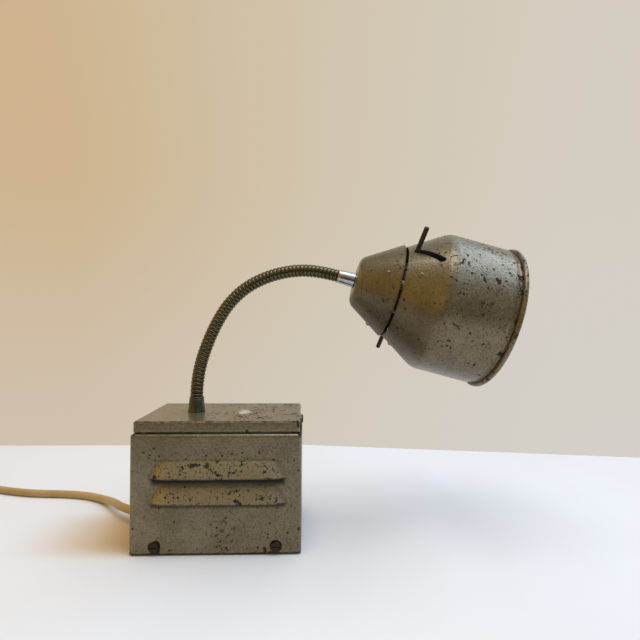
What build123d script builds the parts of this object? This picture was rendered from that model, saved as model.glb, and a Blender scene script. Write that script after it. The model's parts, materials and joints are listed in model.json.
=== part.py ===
from build123d import *
import math
import os

# A bench spot lamp: a louvred sheet-steel box holds the transformer, a wound gooseneck rises
# from its lid, and a two-part spun shade with a focusing lampholder hangs on the neck's end.
# Millimetres. The origin is on the table under the middle of the box, +Z is up, the louvres
# face -Y and the neck leans towards +X. The head has its own axes, set out further down.

# ---- driving dimensions: box --------------------------------------------------------------
BOX_W = 120.0
BOX_D = 82.0
SHEET = 1.0
PAD_T = 1.2
HOUSING_TOP = 84.5
CORNER_R = 2.2
TOP_EDGE_R = 2.0
FLANGE_IN = 7.0
LID_GAP = 1.0
LID_H = 7.7
LID_W = 117.2
LID_D = 79.0
LID_EDGE_R = 1.6
TAB_W = 16.0
TAB_TOP = 90.2
LID_SCREW_Z = 87.4
BOX_SCREW_X = 42.3
BOX_SCREW_Z = 6.2

LOUVRE_X = 1.8
LOUVRE_LIPS = (54.0, 36.5)
LOUVRE_RISE = 12.0
LOUVRE_OUT = 5.0
LOUVRE_HALF = 48.3
LOUVRE_FLAT_HALF = 34.5
LOUVRE_TOP_HALF = 41.8
# How far the hood's hollow cuts below its lip, so that its lower edge is open.
LOUVRE_MOUTH = 0.4

# ---- driving dimensions: neck --------------------------------------------------------------
NECK_X = -23.1
NECK_R = 5.0
NECK_BORE_R = 3.0
FERRULE_H = 12.2
LINK = 17.33
# Lean of each neck link from the vertical, first and last links being half length.
LEANS = (0.0, 9.5, 18.5, 24.0, 31.5, 45.5, 61.0, 73.0, 84.5, 98.0, 105.0)
LINK_GAP = 0.3
MAX_TURN = 30.0
SPIGOT_R = 4.2
RUNNING = 0.05

# ---- driving dimensions: head (s runs along its axis from the cap's rim, r is the radius) ---
WALL = 0.8
END_FERRULE = 13.7
CAP_BACK_S = -30.0
CAP_BACK_R = 18.5
CAP_RIM_R = 37.5
CAP_CORNER_R = 8.0
SHADE_START_S = 2.6
SHADE_START_R = 36.378
SHADE_R = 54.9
SHOULDER_S = 31.7
SHOULDER_R = 15.0
RIM_S = 85.4
BEAD_R = 2.0
GROOVE_R = 54.0
STEM_R = 5.0
TRAVEL = 16.0
LEVER_S = 7.9
LEVER_R = 1.8
LEVER_ANGLE = 39.0
LEVER_TURN = 19.5
LEVER_TIP = 59.9
PIN_TIP = 59.6
SLOT_W = 4.3
BRACKET_ANGLES = (74.0, 194.0, 314.0)
CAP_RIVET_S = -10.0
SHADE_RIVET_S = 12.0

# ---- driving dimensions: cord --------------------------------------------------------------
CORD_D = 6.5
CORD_R = CORD_D / 2
CORD_EXIT = (-60.0, 7.5, 10.5)
COIL_CENTRE = (-278.0, 50.0)
COIL_LOW_RADII = (26.25, 32.75, 39.25, 45.75)
COIL_HIGH_RADII = (29.5, 36.0, 42.5)

os.makedirs("parts", exist_ok=True)


def save(name, *solids):
    """Writes one sub-part; several solids make a group of like pieces."""
    shape = solids[0] if len(solids) == 1 else Compound(children=list(solids))
    export_step(shape, f"parts/{name}.step")


def rod(start, end, radius):
    """A round bar between two points."""
    run = Vector(*end) - Vector(*start)
    return Plane(origin=start, z_dir=run) * extrude(Circle(radius), run.length)


def ring(outer, inner, low, high):
    """A round ring or tube about the Z axis."""
    return Pos(0, 0, low) * extrude(Circle(outer) - Circle(inner), high - low)


def block(x, y, z):
    """A box between two corners, each side given as (low, high)."""
    size = Box(x[1] - x[0], y[1] - y[0], z[1] - z[0])
    return Pos((x[0] + x[1]) / 2, (y[0] + y[1]) / 2, (z[0] + z[1]) / 2) * size


def hexagon(across, bore, low, high):
    """A hexagonal nut about the Z axis."""
    face = RegularPolygon(across / 2, 6, major_radius=False) - Circle(bore)
    return Pos(0, 0, low) * extrude(face, high - low)


def screw(head_r, head_h, shank_r, length):
    """A pan-head screw about +Z: the head sits on z = 0 and the shank runs down."""
    head = Cylinder(head_r, head_h, align=(Align.CENTER, Align.CENTER, Align.MIN))
    head = fillet(head.faces().sort_by(Axis.Z)[-1].edges(), head_h * 0.45)
    slit = Pos(0, 0, head_h) * Box(2.1 * head_r, head_r * 0.24, head_h * 0.7)
    shank = Cylinder(shank_r, length, align=(Align.CENTER, Align.CENTER, Align.MAX))
    return head - slit + shank


def spun(points, radii, thickness):
    """A spun shell: the (r, s) line is the outside, its wall lies on the line's left."""
    inner = offset_line(points, thickness)
    inner_radii = [r - thickness * turn_sign(points, i + 1) for i, r in enumerate(radii)]
    outside = path_rs(points, radii)
    inside = path_rs(inner, inner_radii)
    first = Line(outside @ 0, inside @ 0)
    last = Line(outside @ 1, inside @ 1)
    face = make_face(Curve() + [outside, inside, first, last])
    return revolve(face, Axis.Z)


def path_rs(points, radii):
    """A line of (r, s) points with rounded corners, drawn in the XZ plane."""
    corners = [(r, 0, s) for r, s in points]
    if len(corners) == 2:
        return Line(*corners)
    return FilletPolyline(*corners, radius=list(radii))


def turn_sign(points, i):
    """+1 where the line turns left at point i, -1 where it turns right."""
    (ax, ay), (bx, by), (cx, cy) = points[i - 1], points[i], points[i + 1]
    return 1 if (bx - ax) * (cy - by) - (by - ay) * (cx - bx) > 0 else -1


def offset_line(points, distance):
    """The line moved to its left by a distance, each corner on the corner's bisector."""
    moved = []
    for i, (x, y) in enumerate(points):
        normals = []
        for a, b in ((i - 1, i), (i, i + 1)):
            if a >= 0 and b < len(points):
                dx = points[b][0] - points[a][0]
                dy = points[b][1] - points[a][1]
                size = math.hypot(dx, dy)
                normals.append((-dy / size, dx / size))
        nx = sum(n[0] for n in normals)
        ny = sum(n[1] for n in normals)
        scale = distance * len(normals) / (nx * nx + ny * ny)
        moved.append((x + nx * scale, y + ny * scale))
    return moved


# ---- box ------------------------------------------------------------------------------------
def louvre_solid(lip, shrink, through):
    """A pressed hood on the -Y wall; shrunk and run through the wall it is the hood's hollow."""
    sections = []
    for share in (0.0, 0.35, 0.65, 0.86, 1.0):
        out = max((LOUVRE_OUT - shrink) * math.sqrt(1 - share**2), 0.15)
        wide = LOUVRE_HALF + (LOUVRE_TOP_HALF - LOUVRE_HALF) * share - shrink
        flat = LOUVRE_FLAT_HALF - shrink * 0.5
        wall_y = -BOX_D / 2
        corners = [
            (-wide, wall_y + through),
            (-wide, wall_y),
            (-flat, wall_y - out),
            (flat, wall_y - out),
            (wide, wall_y),
            (wide, wall_y + through),
        ]
        height = lip + share * (LOUVRE_RISE - shrink)
        sections.append(Pos(LOUVRE_X, 0, height) * make_face(Polyline(*corners, close=True)))
    return loft(sections, ruled=True)


def make_housing():
    low = PAD_T
    outside = extrude(RectangleRounded(BOX_W, BOX_D, CORNER_R), HOUSING_TOP - low)
    outside = fillet(outside.faces().sort_by(Axis.Z)[-1].edges(), TOP_EDGE_R)
    inner_w = BOX_W - 2 * SHEET
    inner_d = BOX_D - 2 * SHEET
    inner_r = CORNER_R - SHEET
    inside = extrude(RectangleRounded(inner_w, inner_d, inner_r), HOUSING_TOP - low - SHEET)
    inside = fillet(inside.faces().sort_by(Axis.Z)[-1].edges(), TOP_EDGE_R - SHEET)
    top_opening = extrude(Rectangle(BOX_W - 2 * FLANGE_IN, BOX_D - 2 * FLANGE_IN), HOUSING_TOP)
    shell = Pos(0, 0, low) * (outside - inside - top_opening)
    for lip in LOUVRE_LIPS:
        hood = louvre_solid(lip, 0.0, SHEET * 0.5)
        hollow = louvre_solid(lip, SHEET, SHEET * 1.5)
        mouth = Pos(0, 0, -LOUVRE_MOUTH) * hollow
        for turn in (0, 180):
            shell = shell + Rot(0, 0, turn) * hood
            shell = shell - Rot(0, 0, turn) * hollow - Rot(0, 0, turn) * mouth
    for side in (-1, 1):
        x = side * (BOX_W / 2 - SHEET / 2)
        tab = Pos(x, 0, (TAB_TOP + HOUSING_TOP - 4) / 2)
        tab = tab * Box(SHEET, TAB_W, TAB_TOP - HOUSING_TOP + 4)
        hole = Pos(x, 0, LID_SCREW_Z) * Rot(0, 90, 0) * Cylinder(1.8, 4)
        shell = shell + tab - hole
    for x in (-BOX_SCREW_X, BOX_SCREW_X):
        shell -= Pos(x, 0, BOX_SCREW_Z) * Rot(90, 0, 0) * Cylinder(2.1, BOX_D + 10)
    exit_x, exit_y, exit_z = CORD_EXIT
    shell -= Pos(exit_x, exit_y, exit_z) * Rot(0, 90, 0) * Cylinder(5.6, 6)
    return shell


def make_base_plate():
    width = BOX_W - 2 * SHEET - 0.4
    depth = BOX_D - 2 * SHEET - 0.4
    plate = Pos(0, 0, PAD_T) * extrude(RectangleRounded(width, depth, 1.0), 1.2)
    for x in (-BOX_SCREW_X, BOX_SCREW_X):
        for side in (-1, 1):
            y = side * (depth / 2 - 0.6)
            ear = block((x - 7, x + 7), (y - 0.6, y + 0.6), (PAD_T, 11.5))
            hole = Pos(x, y, BOX_SCREW_Z) * Rot(90, 0, 0) * Cylinder(2.05, 4)
            plate = plate + ear - hole
    for x in TRANSFORMER_FEET:
        plate -= Pos(x, 0, PAD_T) * Cylinder(2.05, 6)
    for y in CLAMP_SCREW_Y:
        plate -= Pos(CLAMP_X, y, PAD_T) * Cylinder(1.55, 6)
    return plate


def make_lid():
    low = HOUSING_TOP + LID_GAP
    outside = extrude(RectangleRounded(LID_W, LID_D, CORNER_R), LID_H)
    outside = fillet(outside.faces().sort_by(Axis.Z)[-1].edges(), LID_EDGE_R)
    hollow = extrude(
        RectangleRounded(LID_W - 2 * SHEET, LID_D - 2 * SHEET, CORNER_R - SHEET), LID_H - SHEET
    )
    hollow = fillet(hollow.faces().sort_by(Axis.Z)[-1].edges(), LID_EDGE_R - SHEET)
    lid = Pos(0, 0, low) * (outside - hollow)
    lid -= Pos(NECK_X, 0, low) * Cylinder(STEM_R + 0.1, 4 * LID_H)
    return lid - Pos(0, 0, LID_SCREW_Z) * Rot(0, 90, 0) * Cylinder(1.55, BOX_W)


def make_lid_screws():
    screws = []
    nuts = []
    for side in (-1, 1):
        spot = Pos(side * BOX_W / 2, 0, LID_SCREW_Z) * Rot(0, side * 90, 0)
        screws.append(spot * screw(2.9, 0.9, 1.5, 6.0))
        nut = Box(5.2, 5.2, 2.2) - Cylinder(1.55, 4)
        reach = (BOX_W - LID_W) / 2 + SHEET + 1.15
        nuts.append(spot * Pos(0, 0, -reach) * nut)
    return screws, nuts


def make_box_screws():
    screws = []
    for x in (-BOX_SCREW_X, BOX_SCREW_X):
        for side in (-1, 1):
            spot = Pos(x, side * BOX_D / 2, BOX_SCREW_Z) * Rot(-side * 90, 0, 0)
            screws.append(spot * screw(3.4, 1.9, 2.0, 6.5))
    return screws


# ---- transformer and wiring -------------------------------------------------------------------
CORE_X = 14.0
CORE_W = 66.0
CORE_D = 32.0
CORE_H = 55.0
CORE_LOW = PAD_T + 1.2
LEG_W = 22.0
WINDOW_W = 11.0
WINDOW_H = 33.0
STRAP_T = 1.5
STRAP_W = 24.0
FOOT = 9.0
TRANSFORMER_FEET = (
    CORE_X - CORE_W / 2 - STRAP_T - FOOT / 2,
    CORE_X + CORE_W / 2 + STRAP_T + FOOT / 2 - 0.5,
)
CLAMP_X = -51.0
CLAMP_SCREW_Y = (CORD_EXIT[1] - 7.5, CORD_EXIT[1] + 7.5)
BLOCK_X = (-44.5, -31.5)
BLOCK_Y = (-7.5, 22.5)
BLOCK_Z = (CORE_LOW, 19.0)


def core_place():
    return Pos(CORE_X, 0, CORE_LOW + CORE_H / 2)


def make_core():
    core = Box(CORE_W, CORE_D, CORE_H)
    for side in (-1, 1):
        window_x = side * (LEG_W + WINDOW_W) / 2
        core -= Pos(window_x, 0, 0) * Box(WINDOW_W, CORE_D + 2, WINDOW_H)
    return core_place() * core


def frame_ring(inner_extra, outer_extra, low, high):
    """A square ring about the core's middle leg, its sides set by their distance from it."""
    outer = Box(LEG_W + 2 * outer_extra, CORE_D + 2 * outer_extra, high - low)
    inner = Box(LEG_W + 2 * inner_extra, CORE_D + 2 * inner_extra, 2 * (high - low))
    return core_place() * Pos(0, 0, (low + high) / 2) * (outer - inner)


def make_bobbin():
    half = WINDOW_H / 2 - 0.3
    bobbin = frame_ring(0.3, 1.3, -half, half)
    for low in (-half, 2.0, half - 1.2):
        bobbin += frame_ring(0.3, 10.6, low, low + 1.2)
    return bobbin


def make_windings():
    half = WINDOW_H / 2 - 0.3
    primary = frame_ring(1.4, 9.6, -half + 1.3, 1.9)
    secondary = frame_ring(1.4, 8.8, 3.3, half - 1.3)
    corners = primary.edges().filter_by(Axis.Z).group_by(Edge.length)[-1]
    primary = fillet(outer_corners(corners), 4.0)
    corners = secondary.edges().filter_by(Axis.Z).group_by(Edge.length)[-1]
    secondary = fillet(outer_corners(corners), 4.0)
    return primary, secondary


def outer_corners(edges):
    """The four upright edges furthest from the core's middle leg."""
    return edges.sort_by(lambda e: -abs(e.center().Y) - abs(e.center().X - CORE_X))[0:4]


def make_strap():
    half = CORE_W / 2 + 0.1
    top = CORE_LOW + CORE_H + 0.1
    strap = block(
        (CORE_X - half - STRAP_T, CORE_X + half + STRAP_T),
        (-STRAP_W / 2, STRAP_W / 2),
        (CORE_LOW, top + STRAP_T),
    )
    strap -= block(
        (CORE_X - half, CORE_X + half), (-STRAP_W, STRAP_W), (CORE_LOW - 1, top)
    )
    for x in TRANSFORMER_FEET:
        foot = block(
            (x - FOOT / 2, x + FOOT / 2),
            (-STRAP_W / 2, STRAP_W / 2),
            (CORE_LOW, CORE_LOW + STRAP_T),
        )
        strap = strap + foot
    for x in TRANSFORMER_FEET:
        strap -= Pos(x, 0, CORE_LOW) * Cylinder(2.1, 8)
    return strap


def make_transformer_screws():
    top = CORE_LOW + STRAP_T
    return [Pos(x, 0, top) * screw(3.2, 2.2, 2.0, top - PAD_T - 0.05) for x in TRANSFORMER_FEET]


def make_terminal_block():
    body = block(BLOCK_X, BLOCK_Y, BLOCK_Z)
    body = fillet(body.edges().filter_by(Axis.Z), 1.0)
    middle = (BLOCK_X[0] + BLOCK_X[1]) / 2
    screws = []
    for i in range(4):
        y = BLOCK_Y[0] + 4.5 + 7.0 * i
        well = Pos(middle, y, BLOCK_Z[1]) * Cylinder(2.2, 6)
        hole = Pos(middle, y, 9.0) * Rot(0, 90, 0) * Cylinder(1.6, 20)
        body = body - well - hole
        screws.append(Pos(middle, y, BLOCK_Z[1] - 3) * screw(2.1, 1.2, 1.3, 2.0))
    for screw_solid in screws:
        body = body - screw_solid
    return body, screws


def make_cord_clamp():
    """A saddle that holds the mains cord down on the base plate."""
    y, z = CORD_EXIT[1], CORD_EXIT[2]
    saddle = block((CLAMP_X - 3, CLAMP_X + 3), (y - 11, y + 11), (CORE_LOW, z + CORD_R + 2.0))
    saddle -= Pos(CLAMP_X, y, z) * Rot(0, 90, 0) * Cylinder(CORD_R + 0.05, 10)
    screws = []
    for screw_y in CLAMP_SCREW_Y:
        saddle -= Pos(CLAMP_X, screw_y, z) * Cylinder(1.55, 40)
        top = z + CORD_R + 2.0
        screws.append(Pos(CLAMP_X, screw_y, top) * screw(2.6, 1.8, 1.5, top - PAD_T - 0.1))
    return saddle, screws


def wire(points, radius, bend):
    """A round wire through points, its corners bent to one radius."""
    path = FilletPolyline(*points, radius=bend)
    start = Plane(origin=path @ 0, z_dir=path % 0)
    return sweep(start * Circle(radius), path=path)


def make_leads():
    """Mains leads from the terminal block up to the winding, lamp leads up to the neck."""
    leads = []
    for y, z, side in ((-3.0, 24.0, -1), (18.0, 27.0, 1)):
        end_y = side * (CORE_D / 2 + 5.0)
        leads.append(
            wire(
                [
                    (BLOCK_X[1] + 0.1, y, 9.0),
                    (BLOCK_X[1] + 4.5, y, 9.0),
                    (BLOCK_X[1] + 4.5, end_y, z),
                    (CORE_X - LEG_W / 2 - 10.8, end_y, z),
                ],
                0.9,
                2.5,
            )
        )
    for side in (-1, 1):
        x = NECK_X + side * 1.3
        end_y = side * (CORE_D / 2 + 4.0)
        leads.append(
            wire(
                [
                    (CORE_X - LEG_W / 2 - 9.2, end_y, 38.0),
                    (x, end_y, 38.0),
                    (x, side * 1.2, 66.0),
                    (x, side * 1.2, 80.0),
                ],
                0.9,
                4.0,
            )
        )
    return leads


# ---- neck -------------------------------------------------------------------------------------
LID_TOP = HOUSING_TOP + LID_GAP + LID_H
NECK_START = (NECK_X, 0.0, LID_TOP + FERRULE_H)


def neck_points():
    """The neck's start, its ten bending points and its end, in the XZ plane."""
    x, _, z = NECK_START
    points = [Vector(x, 0, z)]
    for i, lean in enumerate(LEANS):
        length = LINK / 2 if i in (0, len(LEANS) - 1) else LINK
        x += length * math.sin(math.radians(lean))
        z += length * math.cos(math.radians(lean))
        points.append(Vector(x, 0, z))
    return points


NECK = neck_points()


def make_base_ferrule():
    low = LID_TOP - 10.0
    sleeve = Pos(0, 0, LID_TOP) * extrude(Circle(6.6), FERRULE_H)
    cone = Cone(6.6, 5.35, FERRULE_H, align=(Align.CENTER, Align.CENTER, Align.MIN))
    sleeve = sleeve & (Pos(0, 0, LID_TOP) * cone)
    stem = Pos(0, 0, low) * extrude(Circle(STEM_R), 10.0)
    bore = Pos(0, 0, low) * extrude(Circle(SPIGOT_R + RUNNING), 40)
    return Pos(NECK_X, 0, 0) * (sleeve + stem - bore)


def link(i):
    """A neck link about its own +Z: its ends are cones, so that neighbours can turn."""
    lean = LEANS[i]
    start, end = NECK[i], NECK[i + 1]
    length = (end - start).length
    rise = (NECK_R - NECK_BORE_R) * math.tan(math.radians(MAX_TURN / 2))
    low = LINK_GAP + NECK_BORE_R * math.tan(math.radians(MAX_TURN / 2))
    bottom = [(NECK_R, low + rise), (NECK_BORE_R, low)]
    top = [(NECK_BORE_R, length - low), (NECK_R, length - low - rise)]
    if i == 0:
        spigot_low = -(FERRULE_H + 9.5)
        bottom = [(NECK_R, 0.1), (SPIGOT_R, 0.1), (SPIGOT_R, spigot_low)]
        bottom.append((NECK_BORE_R, spigot_low))
    if i == len(LEANS) - 1:
        top = [(NECK_BORE_R, length), (NECK_R, length)]
    profile = make_face(Polyline(*[(r, 0, z) for r, z in bottom + top], close=True))
    place = Pos(start.X, start.Y, start.Z) * Rot(0, lean, 0)
    return place * revolve(profile, Axis.Z)


# ---- head: local +Z is the lamp's axis, +X its upper side and +Y the louvre side --------------
TILT = math.radians(LEANS[-1])
AXIS = Vector(math.sin(TILT), 0, math.cos(TILT))
UPPER = Vector(-math.cos(TILT), 0, math.sin(TILT))
HEAD_O = NECK[-1] + AXIS * (END_FERRULE - CAP_BACK_S)
HEAD = Location(Plane(origin=HEAD_O, x_dir=UPPER, z_dir=AXIS))
CONE_SLOPE = (SHADE_R - SHADE_START_R) / (SHOULDER_S - SHADE_START_S)
CONE_ANGLE = math.degrees(math.atan(CONE_SLOPE))


def shade_radius(s):
    """The outside radius of the shade's cone at s."""
    return SHADE_START_R + (s - SHADE_START_S) * CONE_SLOPE


def cap_radius(s):
    """The outside radius of the rear cap's cone at s."""
    return CAP_RIM_R + s * (CAP_RIM_R - CAP_BACK_R) / -CAP_BACK_S


def make_end_ferrule():
    low = CAP_BACK_S - END_FERRULE
    cone = Cone(5.3, 5.95, END_FERRULE, align=(Align.CENTER, Align.CENTER, Align.MIN))
    return Pos(0, 0, low) * cone - Pos(0, 0, low - 1) * extrude(Circle(3.2), 20)


def make_rear_cap():
    points = [(STEM_R + 0.2, CAP_BACK_S), (CAP_BACK_R, CAP_BACK_S), (CAP_RIM_R, 0.0)]
    cap = spun(points, [CAP_CORNER_R], WALL)
    for angle in BRACKET_ANGLES:
        cap -= Rot(0, 0, angle) * rivet_line(cap_radius(CAP_RIVET_S), CAP_RIVET_S, 1.3)
    return cap


def rivet_line(radius, s, r):
    """A hole's cylinder square to the cone at (radius, s), at angle 0."""
    return Pos(radius, 0, s) * Rot(0, 90 + CONE_ANGLE, 0) * Cylinder(r, 9)


def slot_cutter(angle):
    """The lever's slanting slot: an arc seen along the mid radius, cut through the wall."""
    half = LEVER_TURN / 2
    points = []
    for share in (0.0, 0.5, 1.0):
        s = LEVER_S + TRAVEL * share
        side = shade_radius(s) * math.sin(math.radians(LEVER_TURN * share - half))
        points.append((side, s))
    flat = SlotArc(ThreePointArc(*points), SLOT_W)
    cut = Plane(origin=(25, 0, 0), x_dir=(0, 1, 0), z_dir=(1, 0, 0)) * extrude(flat, 40)
    return Rot(0, 0, angle + half) * cut


def make_front_shade():
    points = [
        (SHADE_START_R, SHADE_START_S),
        (SHADE_R, SHOULDER_S),
        (SHADE_R, RIM_S - 9.0),
        (GROOVE_R, RIM_S - 6.2),
        (GROOVE_R, RIM_S - BEAD_R),
    ]
    shade = spun(points, [SHOULDER_R, 4.0, 2.0], WALL)
    shade += Pos(0, 0, RIM_S - BEAD_R) * Torus(SHADE_R - 0.3, BEAD_R)
    for angle in (LEVER_ANGLE, LEVER_ANGLE + 180):
        shade -= slot_cutter(angle)
    for angle in BRACKET_ANGLES:
        shade -= Rot(0, 0, angle) * rivet_line(shade_radius(SHADE_RIVET_S), SHADE_RIVET_S, 1.3)
    return shade


BRACKET_T = 1.2
BRACKET_W = 7.0
BRACKET_CLEAR = 0.3


def make_brackets():
    """Cranked strips inside both shells, which hold the shade a few millimetres off the cap."""
    slant = math.radians(CONE_ANGLE)
    along = (math.sin(slant), math.cos(slant))
    inward = (-math.cos(slant), math.sin(slant))
    skin = WALL + BRACKET_CLEAR

    def at(radius, s, depth, run):
        r = radius + inward[0] * depth + along[0] * run
        return (r, 0, s + inward[1] * depth + along[1] * run)

    cap_r = cap_radius(CAP_RIVET_S)
    shade_r = shade_radius(SHADE_RIVET_S)
    strips = []
    for angle in BRACKET_ANGLES:
        corners = [
            at(cap_r, CAP_RIVET_S, skin, -4.5),
            at(cap_r, CAP_RIVET_S, skin, 4.0),
            at(shade_r, SHADE_RIVET_S, skin, -18.6),
            at(shade_r, SHADE_RIVET_S, skin, 4.5),
            at(shade_r, SHADE_RIVET_S, skin + BRACKET_T, 4.5),
            at(shade_r, SHADE_RIVET_S, skin + BRACKET_T, -19.0),
            at(cap_r, CAP_RIVET_S, skin + BRACKET_T, 3.6),
            at(cap_r, CAP_RIVET_S, skin + BRACKET_T, -4.5),
        ]
        strip = make_face(Polyline(*corners, close=True))
        strip = extrude(strip, BRACKET_W / 2, both=True)
        strip -= rivet_line(cap_r, CAP_RIVET_S, 1.3)
        strip -= rivet_line(shade_r, SHADE_RIVET_S, 1.3)
        strips.append(Rot(0, 0, angle) * strip)
    return strips


def make_rivets():
    rivets = []
    stack = WALL + BRACKET_CLEAR + BRACKET_T
    for angle in BRACKET_ANGLES:
        for radius, s in (
            (cap_radius(CAP_RIVET_S), CAP_RIVET_S),
            (shade_radius(SHADE_RIVET_S), SHADE_RIVET_S),
        ):
            head = Pos(0, 0, 0.12) * Sphere(2.3)
            head = Pos(0, 0, -1.15) * head & Pos(0, 0, 3.12) * Box(8, 8, 6)
            shank = Pos(0, 0, 0.2) * Cylinder(
                1.25, stack + 0.2, align=(Align.CENTER, Align.CENTER, Align.MAX)
            )
            tail = Pos(0, 0, -stack) * Cylinder(
                2.0, 0.8, align=(Align.CENTER, Align.CENTER, Align.MAX)
            )
            place = Rot(0, 0, angle) * Pos(radius, 0, s) * Rot(0, 90 + CONE_ANGLE, 0)
            rivets.append(place * (head + shank + tail))
    return rivets


# The carriage slides on the guide tube; the focus ring turns between the carriage's collars.
GUIDE_END = 14.0
SLEEVE_LOW = -12.0
RING_LOW = LEVER_S - 4.0
RING_HIGH = LEVER_S + 4.0
RING_IN = 12.3
RING_OUT = 16.5
HOLDER_R = 12.2
HOLDER_TOP = 36.0
BULB_CAP_R = 7.5
BULB_CAP_LOW = 20.5
BULB_CAP_TOP = 36.4
GLASS_R = 14.5
GLASS_TIP = 64.0
GLASS_T = 0.7


def make_sleeve():
    sleeve = ring(8.0, STEM_R + RUNNING, SLEEVE_LOW, RING_LOW - 0.3)
    return sleeve + ring(RING_OUT, STEM_R + RUNNING, RING_LOW - 2.3, RING_LOW - 0.3)


def make_lampholder():
    body = ring(HOLDER_R, STEM_R + 0.6, RING_LOW - 0.3, HOLDER_TOP)
    body += ring(RING_OUT, HOLDER_R - 1, RING_HIGH + 0.3, RING_HIGH + 2.3)
    body += ring(STEM_R + 1.0, 0.5, 17.0, 19.0)
    body -= Pos(0, 0, 19.0) * extrude(Circle(BULB_CAP_R + 0.4), HOLDER_TOP)
    for side in (-1, 1):
        body -= Pos(side * 3.4, 0, 18.0) * Cylinder(1.3, 6)
    return body


def make_contacts():
    return [Pos(side * 3.4, 0, 18.45) * Cylinder(1.25, 3.9) for side in (-1, 1)]


def make_bulb():
    cap = ring(BULB_CAP_R, BULB_CAP_R - 0.6, BULB_CAP_LOW, BULB_CAP_TOP)
    cap += ring(BULB_CAP_R, 0.6, BULB_CAP_LOW, BULB_CAP_LOW + 1.5)
    centre = GLASS_TIP - GLASS_R
    neck_r = BULB_CAP_R - 0.75
    outside = Pos(0, 0, centre) * Sphere(GLASS_R) + Pos(0, 0, 27.0) * extrude(Circle(neck_r), 16)
    inner = Pos(0, 0, centre) * Sphere(GLASS_R - GLASS_T)
    inner += Pos(0, 0, 27.0 + GLASS_T) * extrude(Circle(neck_r - GLASS_T), 16)
    filament = wire(
        [(-4.0, 0, 30.0), (-4.0, 0, 50.0), (0, 0, 52.5), (4.0, 0, 50.0), (4.0, 0, 30.0)],
        0.35,
        1.2,
    )
    stem = Pos(0, 0, 27.0 + GLASS_T + 0.1) * extrude(Circle(2.6), 8)
    return cap, outside - inner, filament, stem


def make_focus_ring():
    body = ring(RING_OUT, RING_IN, RING_LOW, RING_HIGH)
    for angle in (LEVER_ANGLE, LEVER_ANGLE + 180):
        body -= Rot(0, 0, angle) * radial_rod(RING_IN - 2, RING_OUT + 4, LEVER_R + 0.02)
    return body


def radial_rod(start, end, radius):
    """A round bar across the lamp's axis at the lever's height, at angle 0."""
    return rod((start, 0, LEVER_S), (end, 0, LEVER_S), radius)


def make_lever(angle, tip):
    bar = radial_rod(RING_IN + 0.6, tip, LEVER_R)
    bar = chamfer(bar.faces().sort_by(Axis.X)[-1].edges(), 0.35)
    return Rot(0, 0, angle) * bar


# ---- cord ---------------------------------------------------------------------------------------
RELIEF_IN = 4.0
RELIEF_RUN = 18.0
RELIEF_TURN = 35.0
RELIEF_R0 = 5.4
RELIEF_R1 = 3.9


def relief_end():
    """Where the bent strain relief ends, and the cord's heading there, in the XY plane."""
    bend = RELIEF_RUN / math.radians(RELIEF_TURN)
    x, y, z = CORD_EXIT
    turn = math.radians(RELIEF_TURN)
    return (x - bend * math.sin(turn), y + bend * (1 - math.cos(turn)), z)


def make_relief():
    sections = []
    x, y, z = CORD_EXIT
    bend = RELIEF_RUN / math.radians(RELIEF_TURN)
    steps = 6
    for i in range(steps + 1):
        turn = math.radians(RELIEF_TURN) * i / steps
        centre = (x - bend * math.sin(turn), y + bend * (1 - math.cos(turn)), z)
        heading = (-math.cos(turn), math.sin(turn), 0)
        radius = RELIEF_R0 + (RELIEF_R1 - RELIEF_R0) * i / steps
        sections.append(Plane(origin=centre, x_dir=(0, 0, 1), z_dir=heading) * Circle(radius))
    body = loft(sections)
    inner = rod((x + RELIEF_IN, y, z), (x, y, z), RELIEF_R0)
    collar = rod((x + RELIEF_IN, y, z), (x + SHEET + 0.2, y, z), 6.8)
    lip = rod((x - 0.2, y, z), (x - 1.8, y, z), 6.8)
    return body + inner + collar + lip


def make_inner_cord():
    x, y, z = CORD_EXIT
    return rod((x + RELIEF_IN, y, z), (BLOCK_X[0] - 0.3, y, z), CORD_R)


# Cord route from the strain relief, down to the table and away to the coil.
ROUTE = (
    relief_end(),
    (-90.3, 22.1, 10.3),
    (-102.9, 40.1, 7.4),
    (-117.9, 56.2, 3.8),
    (-136.4, 67.2, CORD_R),
    (-160.0, 72.6, CORD_R),
    (-188.0, 73.9, CORD_R),
    (-218.0, 81.0, CORD_R),
    (-245.0, 92.0, CORD_R),
    (COIL_CENTRE[0] + 6, COIL_CENTRE[1] + COIL_LOW_RADII[-1] + 0.4, CORD_R),
)
# The tail leaves the outer turn on the coil's front side and runs to the plug.
TAIL = (
    (COIL_CENTRE[0] + 4.0, COIL_CENTRE[1] - COIL_LOW_RADII[-1], CORD_R),
    (COIL_CENTRE[0] + 22.0, COIL_CENTRE[1] - COIL_LOW_RADII[-1] - 3.0, CORD_R),
    (COIL_CENTRE[0] + 40.0, COIL_CENTRE[1] - COIL_LOW_RADII[-1] - 14.0, CORD_R + 2.0),
    (COIL_CENTRE[0] + 46.0, COIL_CENTRE[1] - COIL_LOW_RADII[-1] - 34.0, CORD_R + 6.0),
)
PLUG_LENGTH = 36.0


def corner_radii(points):
    """Each corner's arc is as large as its two runs allow."""
    corners = [Vector(*p) for p in points]
    radii = []
    for a, b, c in zip(corners, corners[1:], corners[2:]):
        turn = math.radians((b - a).get_angle(c - b))
        shorter = min((b - a).length, (c - b).length)
        radii.append(0.45 * shorter / math.tan(turn / 2))
    return radii


def make_cord_tube(name, points):
    radii = corner_radii(points)
    path = FilletPolyline(*points, radius=radii)
    tube = sweep(Plane(origin=path @ 0, z_dir=path % 0) * Circle(CORD_R), path=path)
    expected = math.pi * CORD_R**2 * path.length
    print(name, "length", round(path.length, 1), "radii", [round(r) for r in radii])
    print(name, "volume", round(tube.volume), "section x length", round(expected))
    return tube


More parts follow.
